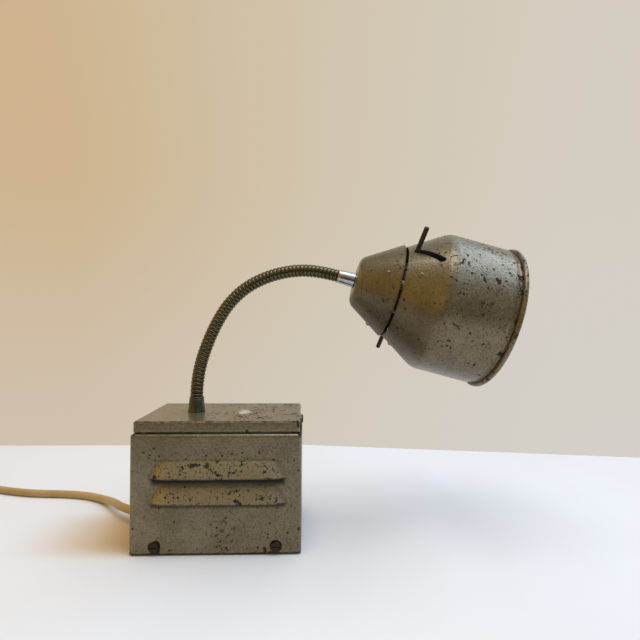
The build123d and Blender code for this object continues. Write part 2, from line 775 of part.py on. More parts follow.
def make_coil():
    """The outer shape of seven turns: four on the table and three in their grooves."""
    low = COIL_LOW_RADII[0] - CORD_R
    high = COIL_LOW_RADII[-1] + CORD_R
    top_low = COIL_HIGH_RADII[0] - CORD_R
    top_high = COIL_HIGH_RADII[-1] + CORD_R
    top = CORD_R + CORD_D * math.sin(math.radians(60)) + CORD_R
    corners = [
        (low, 0, 0),
        (high, 0, 0),
        (high, 0, CORD_D),
        (top_high, 0, top),
        (top_low, 0, top),
        (low, 0, CORD_D),
    ]
    coil = revolve(make_face(Polyline(*corners, close=True)), Axis.Z)
    return Pos(*COIL_CENTRE, 0) * coil


def make_tie():
    """A soft strap round the coil's turns on its far side."""
    low = COIL_LOW_RADII[0] - CORD_R
    high = COIL_LOW_RADII[-1] + CORD_R
    top = CORD_R + CORD_D * math.sin(math.radians(60)) + CORD_R
    outer = block((-high - 2.0, -low + 2.0), (-6, 6), (0.0, top + 1.5))
    return Pos(*COIL_CENTRE, 0) * outer - make_coil()


def plug_place():
    """The plug's own frame: +Z runs out of its nose, from the cord's end."""
    end, before = Vector(*TAIL[-1]), Vector(*TAIL[-2])
    heading = Vector(end.X - before.X, end.Y - before.Y, 0).normalized()
    return Location(Plane(origin=end, x_dir=(0, 0, 1), z_dir=heading))


def make_plug():
    back = Circle(CORD_R + 1.0)
    stages = (
        Pos(0, 0, 0) * back,
        Pos(0, 0, 12) * RectangleRounded(10, 12, 4.5),
        Pos(0, 0, 20) * RectangleRounded(12.5, 26, 5.5),
        Pos(0, 0, PLUG_LENGTH) * RectangleRounded(14, 34, 5.5),
    )
    body = loft(stages)
    pins = []
    for side in (-1, 1):
        pin = Pos(0, side * 9.5, PLUG_LENGTH) * extrude(Circle(2.0), 19)
        tip = pin.faces().sort_by(Axis.Z)[-1].edges()
        pins.append(fillet(tip, 1.2))
    return body, pins


# ---- write every sub-part -----------------------------------------------------------------------
def make_base_pad():
    return extrude(RectangleRounded(BOX_W - 8, BOX_D - 8, 3.0), PAD_T)


save("base_pad", make_base_pad())
save("base_plate", make_base_plate())
save("base_housing", make_housing())
save("box_screws", *make_box_screws())
save("lid", make_lid())
lid_screws, lid_nuts = make_lid_screws()
save("lid_screws", *lid_screws)
save("lid_nuts", *lid_nuts)

save("transformer_core", make_core())
save("transformer_bobbin", make_bobbin())
primary_winding, secondary_winding = make_windings()
save("primary_winding", primary_winding)
save("secondary_winding", secondary_winding)
save("transformer_strap", make_strap())
save("transformer_screws", *make_transformer_screws())
terminal_block, terminal_screws = make_terminal_block()
save("terminal_block", terminal_block)
save("terminal_screws", *terminal_screws)
cord_clamp, clamp_screws = make_cord_clamp()
save("cord_clamp", cord_clamp)
save("clamp_screws", *clamp_screws)
save("lead_wires", *make_leads())

save("base_ferrule", make_base_ferrule())
nut_low = LID_TOP - SHEET - 6.6
save("neck_nut", Pos(NECK_X, 0, 0) * hexagon(15.0, STEM_R + 0.05, nut_low, nut_low + 5.0))
washer = Pos(NECK_X, 0, 0) * ring(9.0, STEM_R + 0.1, nut_low + 5.0, LID_TOP - SHEET)
save("neck_washer", washer)
for index in range(len(LEANS)):
    save(f"neck_link_{index:02d}", link(index))

save("end_ferrule", HEAD * make_end_ferrule())
guide = ring(STEM_R, 3.4, CAP_BACK_S, GUIDE_END)
save("guide_tube", HEAD * guide)
washer_low = CAP_BACK_S + WALL
save("cap_washer", HEAD * ring(9.5, STEM_R + 0.1, washer_low, washer_low + 1.4))
nut_low = washer_low + 1.4
save("cap_nut", HEAD * hexagon(14.0, STEM_R + 0.05, nut_low, nut_low + 4.5))
save("rear_cap", HEAD * make_rear_cap())
save("front_shade", HEAD * make_front_shade())
save("spacer_brackets", *[HEAD * strip for strip in make_brackets()])
save("spacer_rivets", *[HEAD * rivet for rivet in make_rivets()])

save("carrier_sleeve", HEAD * make_sleeve())
save("lampholder", HEAD * make_lampholder())
save("holder_contacts", *[HEAD * contact for contact in make_contacts()])
bulb_cap, bulb_glass, filament, bulb_stem = make_bulb()
save("bulb_cap", HEAD * bulb_cap)
save("bulb_glass", HEAD * bulb_glass)
save("bulb_filament", HEAD * (filament + bulb_stem))
save("focus_ring", HEAD * make_focus_ring())
save("focus_lever", HEAD * make_lever(LEVER_ANGLE, LEVER_TIP))
save("focus_pin", HEAD * make_lever(LEVER_ANGLE + 180, PIN_TIP))

save("strain_relief", make_relief())
save("inner_cord", make_inner_cord())
save("cord", make_cord_tube("cord", ROUTE))
save("cord_tail", make_cord_tube("cord_tail", TAIL))
save("cord_coil", make_coil())
save("cord_tie", make_tie())
plug_body, plug_pins = make_plug()
save("plug_body", plug_place() * plug_body)
save("plug_pins", *[plug_place() * pin for pin in plug_pins])

print("head origin", HEAD_O, "neck points", [(round(p.X, 2), round(p.Z, 2)) for p in NECK])
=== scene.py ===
import json
import math

import bpy
import numpy as np
from bpy.props import FloatProperty, FloatVectorProperty, PointerProperty
from mathutils import Matrix, Vector


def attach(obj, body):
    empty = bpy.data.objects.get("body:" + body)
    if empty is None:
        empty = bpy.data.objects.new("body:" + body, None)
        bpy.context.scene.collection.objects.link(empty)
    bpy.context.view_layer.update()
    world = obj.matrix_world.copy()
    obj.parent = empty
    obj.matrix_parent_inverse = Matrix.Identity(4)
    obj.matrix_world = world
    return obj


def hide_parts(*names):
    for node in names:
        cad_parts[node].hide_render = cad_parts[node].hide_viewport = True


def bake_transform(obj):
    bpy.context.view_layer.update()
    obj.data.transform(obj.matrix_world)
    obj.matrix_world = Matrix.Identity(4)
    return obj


bl_info = {
    "name": "Bench spot lamp",
    "version": (1, 0, 0),
    "blender": (4, 5, 0),
    "location": "View3D > Sidebar > Lamp",
    "description": "Builds a bench lamp with a transformer box, a gooseneck and a focusing shade",
    "category": "Add Mesh",
}

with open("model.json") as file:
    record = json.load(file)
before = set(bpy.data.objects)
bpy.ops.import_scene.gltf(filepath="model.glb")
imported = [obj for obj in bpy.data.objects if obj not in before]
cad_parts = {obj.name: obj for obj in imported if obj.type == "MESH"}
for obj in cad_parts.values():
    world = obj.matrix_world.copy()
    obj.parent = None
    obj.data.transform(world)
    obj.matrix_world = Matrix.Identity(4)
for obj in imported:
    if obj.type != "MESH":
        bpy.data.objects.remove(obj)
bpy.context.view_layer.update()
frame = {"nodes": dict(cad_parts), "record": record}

MM = 0.001

CAMERA_PLACE = (0.0630, -0.3685, 0.1602)
CAMERA_TURN = (-1.7, 90.85, 0.22)  # yaw, pitch and roll, in degrees
CAMERA_LENS, CAMERA_SENSOR = 26.0, 36.0
FLOOR_CORNERS = ((-2.2, -0.42), (2.2, -0.42), (2.2, -0.09), (0.06, 0.262), (-2.2, 0.27))
FLOOR_DROP = 0.5
LIGHT_AIM = (0.05, 0.0, 0.10)

# The louvres of the box's two wide walls: their middle, lower edges and half lengths.
LOUVRE_X = 0.0018
LOUVRE_LIPS = (0.0540, 0.0365)
LOUVRE_HALF = 0.0483
LOUVRE_TOP_HALF = 0.0418
LOUVRE_FLAT = 0.0345
BOX_SCREW_X, BOX_SCREW_Z = 0.0423, 0.0062
SCUFF_ON_LID = (0.0150, -0.0030, 0.0062, 0.0115)  # its middle and its half sizes

# The neck's start, its ten bending points and its end, in the XZ plane, in millimetres.
NECK_LEANS = (0.0, 9.5, 18.5, 24.0, 31.5, 45.5, 61.0, 73.0, 84.5, 98.0, 105.0)
NECK_LINK = 17.33
NECK_START = (-23.1, 105.4)

# The cord's route on the table, from the strain relief to the coil, in metres.
CORD_ROUTE = (
    (-0.07691, 0.01283, 0.0105),
    (-0.0903, 0.0221, 0.0103),
    (-0.1029, 0.0401, 0.0074),
    (-0.1179, 0.0562, 0.0038),
    (-0.1364, 0.0672, 0.00325),
    (-0.1600, 0.0726, 0.00325),
    (-0.1880, 0.0739, 0.00325),
    (-0.2180, 0.0810, 0.00325),
    (-0.2450, 0.0920, 0.00325),
    (-0.2720, 0.09615, 0.00325),
)
COIL_CENTRE = (-0.278, 0.050)
COIL_LOW_RADII = (0.04575, 0.03925, 0.03275, 0.02625)
COIL_HIGH_RADII = (0.0295, 0.0360, 0.0425)
COIL_LOW_Z, COIL_HIGH_Z = 0.00325, 0.00888
COIL_CLIMB = ((0.02575, 0.0056), (0.0259, 0.0089), (0.0278, 0.0098))
COIL_START_TURN, COIL_END_TURN = 97.5, 255.0
CORD_TAIL = (
    (-0.2700, 0.0010, 0.0092),
    (-0.2560, -0.0010, 0.0070),
    (-0.2440, -0.0070, 0.0060),
    (-0.2375, -0.0155, 0.0070),
    (-0.2320, -0.02975, 0.00925),
)


# ---- what a user would change ----------------------------------------------------------------
def length(name, text, value):
    """A length in metres that is shown in the scene's units."""
    return FloatProperty(
        name=name, description=text, default=value, min=0.0, precision=5, unit="LENGTH"
    )


def share(name, text, value, high=1.0):
    """A plain number without a unit."""
    return FloatProperty(name=name, description=text, default=value, min=0.0, max=high)


def colour(name, text, value):
    """A linear colour."""
    return FloatVectorProperty(
        name=name, description=text, default=value, size=3, subtype="COLOR", min=0.0, max=1.0
    )


class BoxSizes(bpy.types.PropertyGroup):
    """Sizes of the transformer box and its lid."""

    width: length("Width", "Box width across the louvred side", 0.120)
    depth: length("Depth", "Box depth", 0.082)
    foot: length("Foot", "Height of the steel's lower edge above the table", 0.0012)
    top: length("Top", "Height of the housing's top", 0.0845)
    corner: length("Corner radius", "Radius of the upright corners", 0.0022)
    edge: length("Edge radius", "Radius of the housing's top edge", 0.0020)
    sheet: length("Sheet", "Thickness of the sheet steel", 0.001)
    louvre_out: length("Louvre depth", "How far a louvre stands out", 0.005)
    louvre_rise: length("Louvre height", "Height of one louvre", 0.012)
    lid_width: length("Lid width", "Lid width", 0.1172)
    lid_depth: length("Lid depth", "Lid depth", 0.079)
    lid_low: length("Lid underside", "Height of the lid's lower edge", 0.0855)
    lid_top: length("Lid top", "Height of the lid's top", 0.0932)
    lid_edge: length("Lid edge radius", "Radius of the lid's top edge", 0.0016)


class NeckSizes(bpy.types.PropertyGroup):
    """Sizes of the wound neck and its two ferrules."""

    radius: length("Radius", "Outside radius of the wound tube", 0.005)
    pitch: length("Pitch", "Distance from one winding to the next", 0.00303)
    groove: length("Groove", "Depth of the groove between windings", 0.00105)
    ferrule: length("Ferrule height", "Height of the ferrule on the lid", 0.0122)


class HeadSizes(bpy.types.PropertyGroup):
    """Sizes of the rear cap and the front shade."""

    wall: length("Wall", "Thickness of the spun metal", 0.0008)
    cap_corner: length("Cap corner", "Radius of the rear cap's back edge", 0.008)
    shoulder: length("Shoulder", "Radius where the shade's cone meets its drum", 0.015)
    bead: length("Bead", "Radius of the rolled rim", 0.002)
    slot_width: length("Slot width", "Width of the lever's slot", 0.0043)


class CordSizes(bpy.types.PropertyGroup):
    """Sizes of the mains cord."""

    diameter: length("Diameter", "Diameter of the round cord", 0.0065)


class Paint(bpy.types.PropertyGroup):
    """The hammered enamel, its wear, and the colour of the shade painted into it."""

    light: colour("Light tone", "Lighter tone of the enamel", (0.215, 0.180, 0.108))
    dark: colour("Dark tone", "Darker tone of the enamel", (0.130, 0.104, 0.056))
    chip: colour("Chip", "Bare dark steel where the enamel has gone", (0.014, 0.010, 0.008))
    rust: colour("Rust", "Rust round the chips and on the edges", (0.125, 0.070, 0.024))
    primer: colour("Primer", "Light primer where the lid is scuffed", (0.74, 0.72, 0.63))
    # This colour is painted shade: it darkens the wall under the louvres, the head's low side and
    # the head's inside.
    soot: colour("Soot", "Dirt under the louvres and inside the shade", (0.012, 0.011, 0.010))
    cell: length("Hammer cell", "Size of one dimple of the hammered finish", 0.0014)
    wear: share("Wear", "Share added to the chipping everywhere", 0.0)


class Metals(bpy.types.PropertyGroup):
    """The bare metals."""

    chrome: colour("Chrome", "Polished ferrules", (0.42, 0.44, 0.42))
    neck: colour("Neck", "Windings of the neck", (0.108, 0.092, 0.052))
    grime: colour("Grime", "Dirt between the windings", (0.035, 0.024, 0.012))
    # Darker, rougher chrome for the ferrule on the lid: some tarnish, and painted shade for the
    # dark surroundings it reflects.
    aged_chrome: colour("Aged chrome", "Ferrule on the lid", (0.115, 0.120, 0.085))
    dark_steel: colour("Dark steel", "Screws and lever", (0.045, 0.036, 0.026))


class Studio(bpy.types.PropertyGroup):
    """Floor, surroundings and lights."""

    cloth: colour("Floor", "Pale floor", (0.80, 0.81, 0.83))
    wall_left: colour("Wall left", "Surroundings on the warm side", (0.617, 0.455, 0.275))
    wall_middle: colour("Wall middle", "Surroundings behind the lamp", (0.640, 0.555, 0.415))
    wall_right: colour("Wall right", "Surroundings on the cool side", (0.660, 0.610, 0.535))
    room: colour("Room", "Surroundings low on the near side", (0.085, 0.060, 0.024))
    curtain: colour("Curtain", "Surroundings halfway up on the near side", (0.36, 0.295, 0.175))
    ceiling: colour("Ceiling", "Surroundings overhead", (0.55, 0.50, 0.42))
    daylight: FloatVectorProperty(
        name="Daylight", description="Cool light from above on the right",
        default=(1.45, 2.05, 3.00), size=3, subtype="COLOR", min=0.0, max=5.0,
    )
    glow: FloatVectorProperty(
        name="Glow", description="Warm light on the near left",
        default=(0.85, 0.52, 0.08), size=3, subtype="COLOR", min=0.0, max=5.0,
    )
    window: share("Window", "Strength of the cool light on the right, in watts", 3.0, 100.0)
    lamp: share("Lamp", "Strength of the warm light on the left, in watts", 0.5, 100.0)
    sky: share("Overhead", "Strength of the light from above, in watts", 3.2, 100.0)


# ---- shader maths ----------------------------------------------------------------------------
class Value:
    """A socket of a finish's nodes. Arithmetic on it adds the nodes that work it out."""

    def __init__(self, finish, socket):
        self.finish = finish
        self.socket = socket

    def maths(self, operation, *terms):
        inputs = dict(enumerate(terms))
        return self.finish.node("ShaderNodeMath", {"operation": operation}, inputs)

    def __add__(self, other):
        return self.maths("ADD", self, other)

    def __sub__(self, other):
        return self.maths("SUBTRACT", self, other)

    def __mul__(self, other):
        return self.maths("MULTIPLY", self, other)

    def __rsub__(self, other):
        return self.maths("SUBTRACT", other, self)

    def __lt__(self, other):
        return self.maths("LESS_THAN", self, other)

    __radd__ = __add__
    __rmul__ = __mul__

    def larger(self, other):
        return self.maths("MAXIMUM", self, other)


class Finish:
    """One material, or the world, and the nodes that make its look."""

    def __init__(self, name, world=None):
        owner = world or bpy.data.materials.new(name)
        owner.use_nodes = True
        self.owner = owner
        self.tree = owner.node_tree
        self.tree.nodes.clear()

    def node(self, kind, settings=None, inputs=None, output=0):
        """Adds a node: its settings first, then its sockets' values or links."""
        made = self.tree.nodes.new(kind)
        for name, value in (settings or {}).items():
            if name == "stops":
                elements = made.color_ramp.elements
                while len(elements) < len(value):
                    elements.new(1.0)
                for element, (position, shade) in zip(elements, value):
                    element.position = position
                    element.color = (*shade, 1.0)
            else:
                setattr(made, name, value)
        for key, value in (inputs or {}).items():
            if isinstance(value, Value):
                self.tree.links.new(value.socket, made.inputs[key])
            else:
                made.inputs[key].default_value = value
        return Value(self, made.outputs[output]) if made.outputs else made

    def place(self):
        return self.node("ShaderNodeTexCoord", output="Object")

    def axes(self):
        parts = self.node("ShaderNodeSeparateXYZ", None, {0: self.place()})
        outputs = parts.socket.node.outputs
        return [Value(self, outputs[i]) for i in range(3)]

    def stored(self, name):
        """A number kept on the mesh's points."""
        return self.node("ShaderNodeAttribute", {"attribute_name": name}, output="Fac")

    def noise(self, size, detail=3.0, rough=0.5, where=None):
        """Cloudy noise whose lumps are about size metres across."""
        inputs = {
            "Vector": where or self.place(),
            "Scale": 1.0 / size,
            "Detail": detail,
            "Roughness": rough,
        }
        return self.node("ShaderNodeTexNoise", None, inputs)

    def step(self, value, low, high):
        """A smooth rise from 0 at low to 1 at high."""
        inputs = {"Value": value, "From Min": low, "From Max": high}
        return self.node("ShaderNodeMapRange", {"interpolation_type": "SMOOTHSTEP"}, inputs)

    def blend(self, factor, first, second):
        """Two colours mixed."""
        first, second = [
            c if isinstance(c, Value) else (*c, 1.0) for c in (first, second)
        ]
        inputs = {0: factor, 6: first, 7: second}
        return self.node("ShaderNodeMix", {"data_type": "RGBA"}, inputs, 2)

    def warped(self, size, amount):
        """The place, pushed about by noise, so that round marks come out ragged."""
        push = self.node(
            "ShaderNodeTexNoise",
            None,
            {"Vector": self.place(), "Scale": 1.0 / size, "Detail": 3.0},
            "Color",
        )
        push = self.node(
            "ShaderNodeVectorMath", {"operation": "SUBTRACT"}, {0: push, 1: (0.5, 0.5, 0.5)}
        )
        push = self.node(
            "ShaderNodeVectorMath", {"operation": "SCALE"}, {0: push, "Scale": amount}
        )
        return self.node(
            "ShaderNodeVectorMath", {"operation": "ADD"}, {0: self.place(), 1: push}
        )

    def bump(self, height, distance, strength=1.0, under=None):
        inputs = {"Strength": strength, "Distance": distance, "Height": height}
        if under:
            inputs["Normal"] = under
        return self.node("ShaderNodeBump", None, inputs)

    def shade(self, **sockets):
        """Closes the finish with a Principled shader."""
        inputs = {name.replace("_", " "): value for name, value in sockets.items()}
        for name in ("Base Color", "Coat Tint", "Emission Color"):
            if name in inputs and not isinstance(inputs[name], Value):
                inputs[name] = (*inputs[name], 1.0)
        shader = self.node("ShaderNodeBsdfPrincipled", None, inputs)
        self.node("ShaderNodeOutputMaterial", None, {"Surface": shader})
        return self.owner


def hammer_paint(name, scuff=None):
    """Glossy hammered enamel. The marks kept on the mesh say where it is chipped and rusty, and
    where shade or light is painted into its colour.
    """
    look = bpy.context.scene.lamp_paint
    f = Finish(name)
    wear = f.stored("wear") + look.wear
    edge = f.stored("edge")
    cells = f.node(
        "ShaderNodeTexVoronoi",
        {"feature": "SMOOTH_F1"},
        {"Vector": f.warped(0.004, 0.0012), "Scale": 1.0 / look.cell, "Smoothness": 0.6},
    )
    ripple = f.noise(0.0009, 2.0)
    height = cells * 0.8 + ripple * 0.45
    tone = f.noise(0.022, 4.0, 0.6) * 0.7 + cells * 0.55
    base = f.blend(f.step(tone, 0.35, 0.85), look.light, look.dark)
    fleck = f.step(f.noise(0.0007, 2.0, 0.7), 0.60, 0.72)
    base = f.blend(fleck * 0.35, base, tuple(1.5 * c for c in look.light))

    rusty = f.stored("rust")
    ragged = f.warped(0.0011, 0.0013)
    cluster = f.step(f.noise(0.017, 2.0, 0.5), 0.38, 0.66)
    worn = wear * (cluster * 0.75 + 0.25)
    big = f.noise(0.0044, 6.0, 0.68, ragged) + worn * 0.20
    middle = f.noise(0.0023, 4.0, 0.6, ragged) + worn * 0.15
    small = f.noise(0.0011, 2.0, 0.5) + wear * 0.11
    spots = f.node(
        "ShaderNodeTexVoronoi", {"feature": "F1"}, {"Vector": ragged, "Scale": 1.0 / 0.0036}
    )
    chosen = f.node(
        "ShaderNodeSeparateXYZ",
        None,
        {0: Value(f, spots.socket.node.outputs["Color"])},
    )
    draw = chosen.socket.node.outputs
    radius = 0.10 + Value(f, draw[1]) * 0.24
    spot = f.step(radius - spots, 0.0, 0.05) * (Value(f, draw[0]) < wear * 0.9)
    chips = f.step(big, 0.682, 0.694)
    chips = chips.larger(f.step(middle, 0.700, 0.718) * 0.95)
    chips = chips.larger(f.step(small, 0.700, 0.725) * 0.85)
    chips = chips.larger(spot * 0.95)
    chips = chips.larger(f.step(f.noise(0.0036, 6.0, 0.72) + edge * 0.60, 0.86, 0.93))
    halo = f.step(big, 0.645, 0.69).larger(f.step(middle, 0.675, 0.71)) * 0.45
    stain = f.step(f.noise(0.007, 5.0, 0.65) + rusty * 0.6, 0.62, 0.95) * 0.85
    base = f.blend(halo.larger(stain), base, look.rust)
    bloom = f.step(f.noise(0.003, 3.0), 0.45, 0.7)
    bare = f.blend(bloom, look.chip, tuple(0.45 * c for c in look.rust))
    # Painted shade: darker where the mesh marks it, over the rear cap and the shade's cone.
    base = f.blend(f.stored("grime"), base, tuple(0.6 * c for c in look.dark))
    # Painted light: lighter where the mesh marks it, on the louvre faces that tilt up towards the
    # light.
    base = f.blend(f.stored("polish"), base, tuple(1.7 * c for c in look.light))
    base = f.blend(chips, base, bare)
    if scuff:
        x, y, _ = f.axes()
        middle_x, middle_y, half_x, half_y = scuff
        across = (x - middle_x) * (1.0 / half_x)
        along = (y - middle_y) * (1.0 / half_y)
        near = 1.0 - across * across - along * along
        torn = f.noise(0.0030, 6.0, 0.75, ragged) + near * 0.16
        base = f.blend(f.step(torn, 0.575, 0.60) * 0.9, base, look.primer)
    # Painted shade: towards the shade colour, rougher and with less coat, where the mesh marks it.
    soot = f.stored("soot")
    base = f.blend(soot * 0.90, base, look.soot)
    whole = 1.0 - chips
    skin = f.bump(height, 0.00030, 0.55)
    skin = f.bump(whole, 0.00018, 0.9, skin)
    return f.shade(
        Base_Color=base,
        Metallic=whole * 0.55,
        Roughness=0.85 - whole * 0.51 + fleck * 0.05 + soot * 0.40,
        Specular_IOR_Level=0.35,
        Coat_Weight=whole * (1.0 - soot) * 0.30,
        Coat_Roughness=0.14,
        Normal=skin,
    )


def metal(name, tint, rough, grain, dirt, dirt_share=0.5):
    """Bare metal with a fine grain and dirt in patches."""
    f = Finish(name)
    fine = f.noise(grain, 3.0, 0.6)
    cloud = f.noise(grain * 9.0, 5.0, 0.65)
    patches = f.step(cloud, 0.62 - 0.25 * dirt_share, 0.80 - 0.2 * dirt_share)
    base = f.blend(patches * (0.35 + 0.6 * dirt_share), tint, dirt)
    base = f.blend(fine * 0.25, base, tuple(0.55 * c for c in tint))
    return f.shade(
        Base_Color=base,
        Metallic=1.0 - patches * 0.55 * dirt_share,
        Roughness=fine * 0.16 + patches * 0.30 + (rough - 0.08),
        Normal=f.bump(fine, grain * 0.25, 0.35),
    )


def wound_chrome(name):
    """Aged chrome windings with grime between them."""
    look = bpy.context.scene.lamp_metals
    f = Finish(name)
    groove = f.stored("groove")
    cloud = f.noise(0.006, 4.0, 0.65)
    grime = f.step(groove + (cloud - 0.5) * 0.5, 0.42, 0.80)
    tarnish = f.step(cloud, 0.45, 0.72) * 0.45
    base = f.blend(tarnish, look.neck, tuple(0.5 * c for c in look.neck))
    base = f.blend(grime, base, look.grime)
    fine = f.noise(0.0006, 2.0)
    return f.shade(
        Base_Color=base,
        Metallic=1.0 - grime * 0.7,
        Roughness=0.20 + fine * 0.10 + grime * 0.45 + tarnish * 0.2,
        Normal=f.bump(fine, 0.00008, 0.3),
    )


def moulded(name, tint, other, rough, grain=0.0008, coat=0.0, depth=0.00004):
    """Plastic, rubber or board with a fine skin and uneven colour."""
    f = Finish(name)
    fine = f.noise(grain, 3.0, 0.55)
    cloud = f.noise(grain * 22.0, 5.0, 0.6)
    base = f.blend(f.step(cloud, 0.35, 0.7), tint, other)
    base = f.blend(f.step(fine, 0.55, 0.8) * 0.3, base, tuple(0.6 * c for c in other))
    return f.shade(
        Base_Color=base,
        Roughness=fine * 0.2 + (rough - 0.1),
        Coat_Weight=coat,
        Normal=f.bump(fine, depth, 0.6),
    )


def layered(name, tint, other, pitch, rough, metallic, axis=2):
    """Stacked laminations or wound wire: fine lines square to one axis."""
    f = Finish(name)
    along = f.axes()[axis]
    lines = f.node("ShaderNodeMath", {"operation": "PINGPONG"}, {0: along, 1: pitch / 2})
    lines = lines * (2.0 / pitch)
    cloud = f.noise(0.006, 4.0, 0.6)
    base = f.blend(f.step(lines, 0.0, 0.5) * 0.7 + cloud * 0.3, other, tint)
    return f.shade(
        Base_Color=base,
        Metallic=metallic,
        Roughness=cloud * 0.2 + (rough - 0.1),
        Normal=f.bump(lines, pitch * 0.3, 0.8),
    )


def clear_glass(name):
    """Clear bulb glass, faintly smoked in patches."""
    f = Finish(name)
    cloud = f.noise(0.01, 3.0)
    return f.shade(
        Base_Color=f.blend(cloud * 0.3, (0.97, 0.98, 0.98), (0.80, 0.80, 0.78)),
        Roughness=cloud * 0.04 + 0.02,
        IOR=1.5,
        Transmission_Weight=1.0,
    )


def felt(name):
    """Dark pressed felt."""
    f = Finish(name)
    hair = f.noise(0.0005, 4.0, 0.7)
    base = f.blend(hair, (0.020, 0.024, 0.020), (0.075, 0.080, 0.070))
    return f.shade(
        Base_Color=base,
        Roughness=0.9 + hair * 0.1,
        Sheen_Weight=0.4,
        Normal=f.bump(hair, 0.0003, 0.9),
    )


def cloth(name, tint):
    """The pale woven floor cover with very soft creases and painted shade in them, a painted warm
    shadow left of the box, and painted warm light towards the left.
    """
    f = Finish(name)
    x, y, _ = f.axes()
    crease = f.noise(0.16, 2.0, 0.45)
    beside, level = x + 0.055, y + 0.004
    # Painted warm shadow on the floor left of the box.
    painted_warm_shadow = f.step(beside, -0.105, 0.0) * f.step(beside, 0.010, 0.0)
    painted_warm_shadow = painted_warm_shadow * (1.0 - f.step(level * level, 0.0002, 0.0019))
    fine = f.noise(0.0012, 2.0)
    # Painted warm light: the floor yellower towards the left.
    warm = f.step(0.10 - x, 0.0, 0.32)
    base = f.blend(warm, tint, (tint[0], tint[1] * 0.955, tint[2] * 0.90))
    # Painted shade in the creases.
    base = f.blend(f.step(crease, 0.4, 0.7) * 0.12, base, tuple(0.82 * c for c in tint))
    base = f.blend(painted_warm_shadow * 0.85, base, (0.60, 0.38, 0.13))
    skin = f.bump(crease, 0.020, 0.5)
    return f.shade(
        Base_Color=base,
        Roughness=0.85,
        Normal=f.bump(fine, 0.0001, 0.4, skin),
    )


def finish_for(slot):
    """The material of one of the record's slots, made once."""
    name = "lamp_" + slot
    made = bpy.data.materials.get(name)
    if made:
        return made
    metals = bpy.context.scene.lamp_metals
    makers = {
        "hammer_paint": (hammer_paint,),
        "chrome": (metal, metals.chrome, 0.16, 0.0009, (0.10, 0.09, 0.06), 0.25),
        "neck_chrome": (wound_chrome,),
        "dark_steel": (metal, metals.dark_steel, 0.42, 0.0005, (0.055, 0.028, 0.012), 0.8),
        "zinc_steel": (metal, (0.17, 0.165, 0.16), 0.40, 0.0006, (0.05, 0.035, 0.02), 0.5),
        "core_steel": (
            layered, (0.16, 0.155, 0.15), (0.03, 0.026, 0.022), 0.0009, 0.42, 0.7, 1
        ),
        "pressboard": (moulded, (0.30, 0.20, 0.10), (0.22, 0.14, 0.07), 0.75, 0.0006),
        "copper_wire": (layered, (0.62, 0.25, 0.10), (0.16, 0.05, 0.02), 0.0008, 0.32, 0.9),
        "bakelite": (
            moulded, (0.045, 0.026, 0.018), (0.022, 0.013, 0.010), 0.28, 0.0009, 0.3
        ),
        "brass": (metal, (0.62, 0.46, 0.22), 0.28, 0.0005, (0.12, 0.08, 0.03), 0.4),
        "wire_insulation": (moulded, (0.30, 0.05, 0.035), (0.20, 0.03, 0.02), 0.45),
        "bulb_glass": (clear_glass,),
        "cord_rubber": (
            moulded, (0.44, 0.290, 0.110), (0.36, 0.220, 0.070), 0.42, 0.0009, 0.15
        ),
        "tie_rubber": (moulded, (0.03, 0.03, 0.03), (0.02, 0.02, 0.02), 0.6),
        "plug_plastic": (moulded, (0.50, 0.36, 0.16), (0.42, 0.28, 0.11), 0.35, 0.001, 0.2),
        "felt": (felt,),
    }
    maker, *details = makers[slot]
    return maker(name, *details)


# ---- mesh helpers ----------------------------------------------------------------------------
def add_mesh(name, points, faces, slot, body=None, replaces=(), sharp=40.0, material=None):
    """A smooth-shaded piece with its finish, riding on a body and standing for CAD nodes."""
    mesh = bpy.data.meshes.new(name)
    mesh.from_pydata([tuple(map(float, p)) for p in points], [], faces)
    mesh.validate()
    mesh.shade_smooth()
    mesh.set_sharp_from_angle(angle=math.radians(sharp))
    mesh.materials.append(material or finish_for(slot))
    piece = bpy.data.objects.new(name, mesh)
    bpy.context.scene.collection.objects.link(piece)
    if body:
        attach(piece, body)
    if replaces:
        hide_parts(*replaces)
    return piece


def baked(piece, *cutters):
    """The piece's modifiers worked into its mesh, and the cutters removed."""
    graph = bpy.context.evaluated_depsgraph_get()
    mesh = bpy.data.meshes.new_from_object(piece.evaluated_get(graph))
    old = piece.data
    piece.modifiers.clear()
    piece.data = mesh
    mesh.name = piece.name
    bpy.data.meshes.remove(old)
    for cutter in cutters:
        bpy.data.objects.remove(cutter)
    return piece


def mark(piece, **marks):
    """Keeps one share per point on the mesh for each mark, such as how rusty it is there."""
    for name, values in marks.items():
        kept = piece.data.attributes.new(name, "FLOAT", "POINT")
        values = np.broadcast_to(np.clip(values, 0.0, 1.0), (len(kept.data),))
        kept.data.foreach_set("value", np.ascontiguousarray(values, np.float32))


def points_of(piece):
    """The mesh's points as one array."""
    flat = np.zeros(len(piece.data.vertices) * 3, np.float32)
    piece.data.vertices.foreach_get("co", flat)
    return flat.reshape(-1, 3).astype(float)


def rows_to_faces(rows, columns, closed_columns=True, closed_rows=False, skip=()):
    """Quads between neighbouring rows of a grid of points."""
    faces = []
    for j in range(rows if closed_rows else rows - 1):
        if j in skip:
            continue
        for i in range(columns if closed_columns else columns - 1):
            a, b = j * columns + i, j * columns + (i + 1) % columns
            up = ((j + 1) % rows - j) * columns
            faces.append((a, b, b + up, a + up))
    return faces


def ease(value):
    """Smoothstep of a number or an array, clamped to 0..1."""
    value = np.clip(value, 0.0, 1.0)
    return value * value * (3.0 - 2.0 * value)


